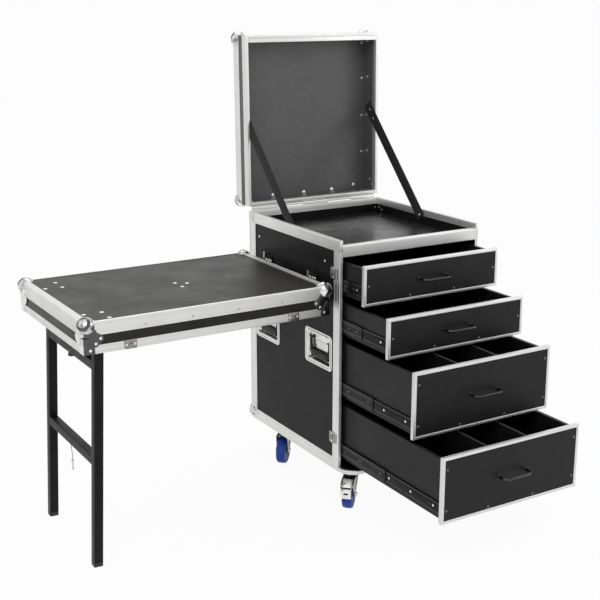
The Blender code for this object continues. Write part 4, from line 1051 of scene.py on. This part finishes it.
def make_lid_fasteners():
    """Rivets of the lid's inner corner angles on its board and walls, and their heads outside."""
    outer = LID_HIGH.z - SKIN - GAP
    inner = outer - PANEL
    floor = LID_LOW.y + SKIN + GAP + PANEL
    column_x = 0.281
    column = (0.608, 0.468, 0.318, 0.171)
    walls = [(0.056, z + 0.006) for z in column] + [(0.036, 0.061), (0.020, 0.044)]
    floor_spots = ((0.127, 0.058), (-0.006, 0.058), (-0.148, 0.058), (0.268, 0.030), (0.248, 0.035),
                   (-0.262, 0.035))
    board_spots = ((0.241, 0.037), (0.133, 0.026), (0.0, 0.026), (-0.142, 0.026), (-0.248, 0.033))
    places = []
    for sign, _ in SIDES:
        places += [((sign * column_x, inner, z), (0, -1, 0)) for z in column]
        places += [((sign * column_x, outer, z), (0, 1, 0)) for z in column if z < 0.5]
        places += [((sign * PANEL_IN, y, z), (-sign, 0, 0)) for y, z in walls]
    small = [((x, y, floor), (0, 0, 1)) for x, y in floor_spots]
    large = [((x, inner, z), (0, -1, 0)) for x, z in board_spots]
    parts = []
    for spots, radius in ((places, 0.0058), (small, 0.0044), (large, 0.0078)):
        for place, normal in spots:
            parts += carried(rivet_shape(radius, 0.0018), facing(place, normal))
    piece("lid_rivets", parts, "lid", (), LID_PLACE)


def make_hinge():
    """The piano hinge behind the rim: two leaves with screws, and five knuckles round the pin."""
    half, knuckles, clearance = 0.285, 5, 0.0002
    step = 2 * half / knuckles
    seat = BACK + GAP
    leaf_height, leaf_low, leaf_face = 0.040, 0.0080, 0.0062
    lid_leaf = (leaf_face, leaf_face + SKIN)
    screw_radius, screw_z, screw_y = 0.0034, 0.815, 0.0270
    columns = (-0.24, -0.12, 0.0, 0.12, 0.24)
    metal = ALU["x"]
    case = [(block((-half, half), (seat, seat + SKIN), (CASE_TOP - leaf_height, CASE_TOP), 0.0004), metal)]
    lid = [(block((-half, half), (leaf_low, 0.0400), lid_leaf, 0.0004), metal)]
    for k in range(knuckles):
        low, high = k * step - half + clearance, (k + 1) * step - half - clearance
        profile = ((0.0026, low), (0.0056, low), (0.0062, low + 0.0006),
                   (0.0062, high - 0.0006), (0.0056, high), (0.0026, high))
        barrel = lathe(profile, "x", 28)
        if k % 2 == 0:
            case.append((moved(barrel, at(0, HINGE_Y, HINGE_Z)), metal))
            case.append((block((low, high), (seat, seat + 0.0033), (0.8365, HINGE_Z), 0.0004), metal))
        else:
            lid.append((barrel, metal))
            lid.append((block((low, high), (0.0, 0.0095), (0.0044, 0.0077), 0.0004), metal))
    pin = ((0.0010, -half), (0.0022, 0.0004 - half), (0.0022, half - 0.0004), (0.0010, half))
    lid.append((lathe(pin, "x", 16), CHROME))
    piece("case_hinge_leaf_dressed", case, "case_body", ("hinge_leaf_case",))
    piece("lid_hinge_leaf_dressed", lid, "lid", ("lid_hinge_leaf",), LID_PLACE)
    places = [((x, seat + SKIN, screw_z), (0, 1, 0)) for x in columns]
    fasteners("case_hinge_screws", places, "case_body", "zinc", screw_shape, radius=screw_radius)
    screws = []
    for x in columns:
        screws += carried(screw_shape(screw_radius), facing((x, screw_y, leaf_face), (0, 0, -1)))
    piece("lid_hinge_screws", screws, "lid", (), LID_PLACE)


# Webbing stays

def make_stay(side, word):
    """A flat woven strap with stitched, folded ends and washers under its screws."""
    along = (STAY_END - STAY_FIXING).normalized()
    across = Vector((-along.y, along.x))
    half, edge, tail = 0.024, 0.0012, 0.014
    strap, folded, lower_fold, upper_fold = 0.0016, 0.0026, 0.034, 0.075
    inner = RIM_IN - GAP
    start = STAY_FIXING - along * tail
    length = (STAY_END - start).length
    steps = 60
    loops = []
    for k in range(steps + 1):
        run = length * k / steps
        thick = folded if run < lower_fold or run > length - upper_fold else strap
        level = thick * 0.5
        section = ((-half, 0.0), (-half + edge, level), (half - edge, level),
                   (half, 0.0), (half - edge, -level), (-half + edge, -level))
        loop = []
        for s, t in section:
            point = start + along * run + across * s
            loop.append((side * (inner - level - t), point.x, point.y))
        loops.append(loop)
    stay = piece(word + "_lid_stay_webbing", [(loft(loops), WEBBING)], "case_body",
                 (word + "_lid_stay",))
    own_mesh(stay)
    inward = (-side, 0, 0)
    face = side * (inner - folded)
    profile = ((0.0135, 0.0), (0.0135, 0.0012), (0.0124, 0.0022), (0.0072, 0.0024), (0.0066, 0.0016),
               (0.0010, 0.0016))
    washer = lathe(profile, "z", 28)
    parts = [(moved(washer, facing((face, *STAY_FIXING), inward)), HUB)]
    parts += carried(rivet_shape(0.0058, 0.0026), facing((face - side * 0.0012, *STAY_FIXING), inward))
    piece(word + "_stay_lower_washer", parts, "case_body")
    places = [((face, 0.341, 1.156), inward), ((face, 0.364, 1.190), inward)]
    fasteners(word + "_stay_upper_rivets", places, "lid", "zinc", radius=0.0046, rise=0.0020)


# Drawers

def make_drawer(name, divided):
    low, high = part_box(name + "_front_trim")
    front = low.y
    board = front + 0.0015
    height = high.z - low.z
    middle = (low.z + high.z) / 2
    rows = ((0.0, 0.0135), (0.0, 0.0010), (0.0003, 0.0003), (0.0010, 0.0), (0.0058, 0.0), (0.0064, -0.0006),
            (0.0076, -0.0006), (0.0082, 0.0), (0.0092, 0.0), (0.0099, 0.0004), (0.0100, 0.0012),
            (0.0012, 0.0012), (0.0012, 0.0135))
    loops = []
    for inset, level in rows:
        corners = ((low.x + inset, low.z + inset), (high.x - inset, low.z + inset),
                   (high.x - inset, high.z - inset), (low.x + inset, high.z - inset))
        loops.append([(x, front + level, z) for x, z in corners])
    trim = loft(loops, closed=True)
    piece(name + "_trim_profile", [(trim, ALU["x"])], name, (name + "_front_trim",))

    low_drawer = 0.17
    places = [(x, low.z + 0.017) for x in (-0.095, 0.095)]
    for share in (0.5,) if height < low_drawer else (0.19, 0.81):
        places += [(x, low.z + share * height) for x in (low.x + 0.020, high.x - 0.020)]
    places = [((x, board, z), (0, -1, 0)) for x, z in places]
    fasteners(name + "_front_screws", places, name, "zinc", screw_shape, radius=0.0034, rise=0.0013,
              finish=DARK_ZINC)
    make_pull(name, board, middle)

    if divided:
        for sign, word in SIDES:
            x = sign * 0.0835
            edge = block((x - 0.0044, x + 0.0044), (front + 0.0140, front + 0.5725),
                         (high.z - 0.0122, high.z - 0.0113), 0.0003)
            piece("%s_divider_edge_%s" % (name, word), [(edge, EDGE_TAPE)], name)
    slide_height = 0.048
    for side, word in SIDES:
        make_slide(name, side, word, low.z + slide_height, front)


def make_pull(name, board, middle):
    """A bow pull on two feet."""
    half, bend, reach, radius = 0.056, 0.018, 0.034, 0.0050
    steps = 10
    seat = board - 0.0003
    side_path = [(half, 0.0), (half, reach - bend)]
    for k in range(1, steps + 1):
        angle = k * math.pi / 2 / steps
        side_path.append((half - bend * (1 - math.cos(angle)), reach - bend * (1 - math.sin(angle))))
    path = [(-x, y) for x, y in side_path] + [(x, y) for x, y in reversed(side_path)]
    parts = [(sweep([(x, seat - y, middle) for x, y in path], radius, 20), PULL_BLACK)]
    foot = ((0.0010, 0.0), (0.0070, 0.0), (0.0070, 0.0012), (0.0060, 0.0022), (0.0040, 0.0022))
    for x in (-half, half):
        parts.append((moved(lathe(foot, "z", 20), facing((x, board, middle), (0, -1, 0))), PULL_BLACK))
    piece(name + "_bow_pull", parts, name, (name + "_pull",))


def channel(side, near, far, lip_end, half, sheet, centre_z, low, high, soft):
    """A C-section along Y, its web from near to far of the panel and its lips out to lip_end."""
    points = ((near, -half), (lip_end, -half), (lip_end, -half + sheet), (far, -half + sheet),
              (far, half - sheet), (lip_end, half - sheet), (lip_end, half), (near, half))
    outline = [(side * (PANEL_IN - depth), centre_z + h) for depth, h in points]
    return prism(outline, "y", low, high, soft, 1)


def make_slide(name, side, word, centre_z, front):
    """The telescopic slide: the drawer's member, the middle one, and the case member's front end."""
    low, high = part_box("%s_slide_%s" % (name, word))

    def layer(level, inward, outward):
        """A thin layer across x, round a level on this side."""
        return sorted((level - side * inward, level + side * outward))

    def bead(x, y, rise):
        """A ridge pressed along the member, a rise from its middle line, in a lighter steel as a painted
        highlight.
        """
        return block(x, y, (centre_z + rise - 0.0010, centre_z + rise + 0.0010), 0.0004), SLIDE_HIGHLIGHT_STEEL

    section = channel(side, 0.0050, 0.0066, 0.0116, 0.0207, 0.0016, centre_z, low.y, high.y, 0.0005)
    parts = [(section, SLIDE_STEEL)]
    web = side * (PANEL_IN - 0.0049)
    holes = ((0.030, 0.012), (0.075, 0.005), (0.150, 0.014), (0.245, 0.005), (0.330, 0.014), (0.420, 0.005))
    for offset, half in holes:
        y = low.y + offset
        outline = rounded((y - half, centre_z - 0.0048), (y + half, centre_z + 0.0048), 0.0047, 4)
        # Each hole is a near black plate of painted shade, with a smaller lighter plate in it as a painted
        # highlight.
        parts.append((prism(outline, "x", *layer(web, 0.0006, 0.0002)), RECESS_SHADE))
        inner = [(y + 0.6 * (a - y), centre_z + 0.45 * (b - centre_z)) for a, b in outline]
        parts.append((prism(inner, "x", *layer(web, 0.0006, 0.0004)), SLIDE_HIGHLIGHT_STEEL))
    for rise in (-0.0195, -0.0125, 0.0125, 0.0195):
        parts.append(bead(layer(web, 0.0006, 0.0005), (low.y + 0.004, high.y - 0.004), rise))
    piece("%s_%s_middle_member" % (name, word), parts, "%s_%s_mid_member" % (name, word),
          ("%s_slide_%s" % (name, word),))

    start = front + 0.0138
    end = start + 0.530
    face = side * (PANEL_IN - 0.0077)
    section = channel(side, 0.0129, 0.0123, 0.0077, 0.0194, 0.0014, centre_z, start, end, 0.0004)
    plate = block(layer(face, 0.0010, 0.0), (start, end), (centre_z - 0.0172, centre_z + 0.0172), 0.0003)
    parts = [(section, SLIDE_STEEL), (plate, SLIDE_STEEL)]
    for offset in (0.055, 0.180, 0.300, 0.425):
        y = start + offset
        # The holes are near black plates of painted shade.
        outline = rounded((y - 0.012, centre_z - 0.004), (y + 0.012, centre_z + 0.004), 0.004, 4)
        parts.append((prism(outline, "x", *layer(face, 0.0002, 0.0003)), RECESS_SHADE))
    for rise in (-0.0160, 0.0160):
        parts.append(bead(layer(face, 0.0002, 0.0006), (start + 0.002, end - 0.002), rise))
    lever = rounded((end - 0.052, centre_z - 0.004), (end - 0.016, centre_z + 0.004), 0.004, 4)
    parts.append((prism(lever, "x", *layer(face, 0.0, 0.0022), 0.0006), GRIP))
    piece("%s_%s_inner_member" % (name, word), parts, name)
    screw_x = face + side * 0.0003
    screws = [((screw_x, start + offset, centre_z), (side, 0, 0)) for offset in (0.035, 0.155, 0.275, 0.395)]
    fasteners("%s_%s_slide_screws" % (name, word), screws, name, "zinc", radius=0.0042, rise=0.0006)
    mouth = FRONT + 0.0197
    outer = channel(side, -0.0002, 0.0017, 0.0092, 0.0227, 0.0016, centre_z, mouth, mouth + 0.0903, 0.0004)
    piece("%s_%s_case_member_end" % (name, word), [(outer, SLIDE_STEEL)], "case_body")


# The table and its legs

def make_table():
    rails = cover_rails(TABLE_LOW, TABLE_HIGH, 0.007)
    parts = [(mesh, ALU["x"]) for mesh in rails["x"]] + [(mesh, ALU["y"]) for mesh in rails["y"]]
    piece("table_profiles", parts, "table", ("table_edge_frame",), TABLE_PLACE)
    for number, axes in cover_corners(TABLE_LOW, TABLE_HIGH):
        parts = carried(corner_parts(faces="z") + wide_plates(), TABLE_PLACE @ axes)
        piece("table_ball_corner_%d" % number, parts, "table")
    keeper_z, screw_z = TABLE_TOP_Z - 0.088, 0.6585
    for y, normal, edge in ((-0.325, (0, -1, 0), "near"), (0.279, (0, 1, 0), "far")):
        for x, end in ((-1.067, "outer"), (-0.485, "inner")):
            axes = facing((x, y, keeper_z), normal)
            parts = carried(keeper_parts(0.0205, 0.0150, 0.002), axes)
            piece("table_keeper_%s_%s" % (edge, end), parts, "table")
        screws = [((x, y, screw_z), normal) for x in (-1.016, -0.854, -0.692, -0.529)]
        fasteners("table_rail_screws_" + edge, screws, "table", "zinc", screw_shape, radius=0.0026,
                  rise=0.0011, finish=DARK_ZINC)
    tops = ((-1.121, 0.1985), (-1.121, 0.129), (-1.1775, 0.136), (-0.772, -0.015), (-0.7375, -0.038),
            (-0.771, -0.072), (-1.180, -0.231), (-1.121, -0.231), (-1.1225, -0.298))
    places = [((x, y, TABLE_TOP_Z - SKIN - GAP), (0, 0, 1)) for x, y in tops]
    fasteners("table_top_rivets", places, "table", "aluminium", radius=0.0072, rise=0.0012)


def square_tube(centre):
    half, radius = LEG_TUBE / 2, 0.003
    return rounded((centre[0] - half, centre[1] - half), (centre[0] + half, centre[1] + half), radius, 4)


def make_legs():
    """Square tube with rounded edges, welded cross bars, plastic feet and a knob."""
    length = 0.7455
    half = LEG_TUBE / 2
    parts = []
    for y in (LEG_NEAR_Y, LEG_FAR_Y):
        parts.append((prism(square_tube((0.0, y)), "z", -length + 0.004, 0.0148, 0.0008), BLACK_STEEL))
        foot = rounded((-0.0152, y - 0.0152), (0.0152, y + 0.0152), 0.004, 4)
        parts.append((prism(foot, "z", -length + 0.0003, -length + 0.016, 0.0015), HUB))
    for drop in (TOP_BAR_DROP, MID_BAR_DROP):
        bar = prism(square_tube((0.0, -drop)), "y", LEG_NEAR_Y + 0.0148, LEG_FAR_Y - 0.0148)
        parts.append((bar, BLACK_STEEL))
        for y, sign in ((LEG_NEAR_Y + half, 1), (LEG_FAR_Y - half, -1)):
            for dz in (-0.0147, 0.0147):
                seam = [(-0.0120 + 0.0240 * k / 8, y + sign * 0.0006, -drop + dz) for k in range(9)]
                parts.append((sweep(seam, 0.0017, 8), BLACK_STEEL))
    piece("leg_frame_tubes", parts, "folding_legs", ("leg_frame",), LEGS_PLACE)
    bolt = ((0.0010, 0.0), (0.0075, 0.0), (0.0075, 0.0014), (0.0062, 0.0020), (0.0010, 0.0020))
    bolts = []
    for y, normal in ((LEG_NEAR_Y - half, (0, -1, 0)), (LEG_FAR_Y + half, (0, 1, 0))):
        bolts.append((moved(lathe(bolt, "z", 6), facing((0.0, y, 0.0), normal)), ZINC))
    piece("leg_pivot_bolts", bolts, "table", (), LEGS_PLACE)
    profile = ((0.0010, 0.0), (0.0040, 0.0), (0.0040, 0.0050), (0.0095, 0.0065), (0.0105, 0.0100),
               (0.0105, 0.0150), (0.0090, 0.0175), (0.0010, 0.0180))
    knob = moved(lathe(profile, "z", 20), facing((0.0, -0.042, -TOP_BAR_DROP - half), (0, 0, -1)))
    piece("leg_frame_knob", [(knob, HUB)], "folding_legs", (), LEGS_PLACE)


# Casters

def make_caster(name, x, y, braked):
    """A top plate with its bolts, the swivel fork, the tyred wheel and, in front, the brake pedal."""
    place = at(x, y, 0.0) @ Matrix.Rotation(CASTER_HEADING, 4, "Z")
    axle_z = AXLE_Z
    inner, outer = 0.0205, 0.0235
    plate_low, bolt_spread = -0.0031, 0.027
    plate = ((0.040, 0.023), (0.018, 0.045), (-0.018, 0.045), (-0.040, 0.023), (-0.040, -0.023),
             (-0.018, -0.045), (0.018, -0.045), (0.040, -0.023))
    plate_parts = [(prism([(x + a, y + b) for a, b in plate], "z", plate_low, -0.0001, 0.0006), ZINC)]
    for a in (-bolt_spread, bolt_spread):
        for b in (-bolt_spread, bolt_spread):
            bolt = lathe(((0.0062, 0.0), (0.0062, 0.0030), (0.0050, 0.0040), (0.0010, 0.0040)), "z", 6)
            plate_parts.append((moved(bolt, facing((x + a, y + b, plate_low), (0, 0, -1), a + b)), ZINC))
    piece(name + "_top_plate", plate_parts, "case_body")

    head = ((0.010, -0.0165), (0.0300, -0.0165), (0.0338, -0.0145), (0.0340, -0.0120), (0.0318, -0.0105),
            (0.0318, -0.0090), (0.0342, -0.0075), (0.0330, -0.0045), (0.0280, -0.0034), (0.010, -0.0034))
    back = -0.0272
    bridge = rounded((back, -outer), (CASTER_TRAIL + 0.012, outer), 0.004, 4)
    # The head and bridge under the top plate take the near black zinc as painted shade.
    parts = [(lathe(head, "z", 36), ZINC_SHADE_REFLECTION), (prism(bridge, "z", -0.0181, -0.0148, 0.0008), ZINC_SHADE_REFLECTION)]
    leg = [(back, -0.0165), (0.062, -0.0165)]
    if braked:
        leg += [(0.0845, -0.0295), (0.0815, -0.0410)]
    leg += [(CASTER_TRAIL + 0.0120, axle_z + 0.004)]
    leg += [(CASTER_TRAIL + a, axle_z + b) for a, b in arc((0.0, 0.0), 0.0120, -15, -165, 8)]
    leg += [(CASTER_TRAIL - 0.0125, axle_z + 0.004), (-0.0200, -0.0290)]
    for sign in (-1, 1):
        parts.append((prism(leg, "y", *sorted((sign * inner, sign * outer)), 0.0008), DARK_ZINC))
        rib_y = sign * (outer + 0.0004)
        rib = [(0.0, rib_y, -0.0220), (CASTER_TRAIL - 0.004, rib_y, axle_z + 0.014)]
        parts.append((sweep(rib, 0.0022, 8), ZINC))
        nut = lathe(((0.0010, 0.0), (0.0080, 0.0), (0.0080, 0.0040), (0.0068, 0.0052), (0.0040, 0.0052),
                     (0.0038, 0.0078), (0.0010, 0.0080)), "z", 6)
        parts.append((moved(nut, facing((CASTER_TRAIL, sign * outer, axle_z), (0, sign, 0))), ZINC))
    axle = lathe(((0.0010, -inner), (0.0049, -inner), (0.0049, inner), (0.0010, inner)), "y", 16)
    parts.append((moved(axle, at(CASTER_TRAIL, 0.0, axle_z)), ZINC))
    piece(name + "_caster_housing", parts, name + "_caster", (name + "_caster_fork",), place)

    tyre = [(0.0385, -0.0165), (0.0440, -0.0176), (0.0485, -0.0168), (0.0506, -0.0142), (0.0516, -0.0100),
            (0.0520, -0.0045), (0.0520, 0.0045), (0.0516, 0.0100), (0.0506, 0.0142), (0.0485, 0.0168),
            (0.0440, 0.0176), (0.0385, 0.0165)]
    core = [(0.0055, -0.0178), (0.0130, -0.0178), (0.0140, -0.0165), (0.0145, -0.0110), (0.0330, -0.0100),
            (0.0350, -0.0160), (0.0392, -0.0168), (0.0392, 0.0168), (0.0350, 0.0160), (0.0330, 0.0100),
            (0.0145, 0.0110), (0.0140, 0.0165), (0.0130, 0.0178), (0.0055, 0.0178)]
    wheel = place @ at(CASTER_TRAIL, 0.0, axle_z)
    parts = [(lathe(tyre, "y", 64), TYRE), (lathe(core, "y", 48), HUB)]
    for k in range(6):
        turn = Matrix.Rotation(2 * math.pi * k / 6, 4, "Y")
        rib = block((0.0135, 0.0345), (-0.0155, 0.0155), (-0.0014, 0.0014), 0.0005, 1)
        parts.append((moved(rib, turn), HUB))
    piece(name + "_tyred_wheel", parts, name + "_wheel", (name + "_caster_wheel",), wheel)
    if braked:
        make_pedal(name, place)


def make_pedal(name, place):
    """The brake's step plate with its slot, and the release lever above it."""
    pivot_reach, pivot_angle = 0.058, math.radians(50)
    pivot_x = CASTER_TRAIL + pivot_reach * math.cos(pivot_angle)
    pivot_z = AXLE_Z + pivot_reach * math.sin(pivot_angle)
    arm, low, tip = (-0.018, 0.0160), (0.0225, -0.0104), (0.0245, -0.0384)
    sheet = 0.0025
    outline = ((arm[0], arm[1] + sheet), (sheet, 0.0042), low, tip, (tip[0] - sheet, tip[1]),
               (low[0] - sheet, low[1] - sheet / 2), (0.0, 0.0), arm)
    parts = [(prism(outline, "y", -0.018, 0.018, 0.0010), RIVET)]
    barrel = lathe(((0.0020, -0.0202), (0.0042, -0.0198), (0.0042, 0.0198), (0.0020, 0.0202)), "y", 24)
    parts.append((barrel, ZINC))
    slope = math.atan2(0.0042 - arm[1] - sheet, sheet - arm[0])
    lever_place = at(arm[0] + 0.0012, 0.0, arm[1] + sheet - 0.0008) @ Matrix.Rotation(-slope, 4, "Y")
    lever = prism(rounded((0.0, -0.0165), (0.0340, 0.0165), 0.0030, 4), "z", -0.0004, 0.0026, 0.0009)
    parts.append((moved(lever, lever_place), RIVET))
    # The gap beside the lever is a near black bar of painted shade.
    gap_bar = block((0.0348, 0.0400), (-0.0160, 0.0160), (-0.0006, 0.0014), 0.0003, 1)
    parts.append((moved(gap_bar, lever_place), RECESS_SHADE))
    normal = (1.0, 0.0, (tip[0] - low[0]) / (low[1] - tip[1]))
    spot = ((low[0] + tip[0]) / 2 + 0.0002, 0.0, low[1] - 0.0105)
    # The slot is a near black plate of painted shade.
    slot = prism(rounded((-0.0085, -0.0028), (0.0085, 0.0028), 0.0026, 5), "z", -0.0006, 0.0005, 0.0)
    parts.append((moved(slot, facing(spot, normal)), RECESS_SHADE))
    piece(name + "_brake_step", parts, name.replace("_caster", "") + "_brake",
          (name + "_caster_brake_pedal",), place @ at(pivot_x, 0.0, pivot_z))


# Panels and other solids that keep their own shape

def dress(names, finish):
    for name in names:
        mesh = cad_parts[name].data
        for k in range(len(mesh.materials)):
            mesh.materials[k] = finish
        if not mesh.materials:
            mesh.materials.append(finish)


def dress_solids():
    dress(("left_side_panel", "right_side_panel", "back_panel", "base_board"), LAMINATE)
    dress(("work_surface",), TRAY_FILM)
    dress(("lid_shell",), LID_FILM_PAINTED_LIGHT)
    dress(("table_shell",), TABLE_FILM)
    dress(["%s_box" % name for name, _ in DRAWERS], DRAWER_FILM)
    dress(("leg_mount_bar",), BLACK_STEEL)


bpy.context.scene.view_settings.view_transform = "Standard"
make_camera()
make_lanyard()
make_stage()
make_world()
make_lights()
dress_solids()
make_case_profiles()
make_crossbeam()
make_base_trim()
for side, word in SIDES:
    for place, centre_y in zip(("front", "rear"), DISH_CENTRES_Y):
        make_handle(side, word, place, centre_y)
make_hook("front", -0.144, 0.673, 0.695)
make_hook("rear", 0.1715, 0.679, 0.702)
make_side_details()
make_lid()
make_lid_fasteners()
make_hinge()
for side, word in SIDES:
    make_stay(side, word)
for name, divided in DRAWERS:
    make_drawer(name, divided)
make_table()
make_legs()
for side, word in SIDES:
    make_caster("front_" + word, side * CASTER_X, CASTER_FRONT_Y, True)
    make_caster("rear_" + word, side * CASTER_X, CASTER_REAR_Y, False)
bpy.context.view_layer.update()
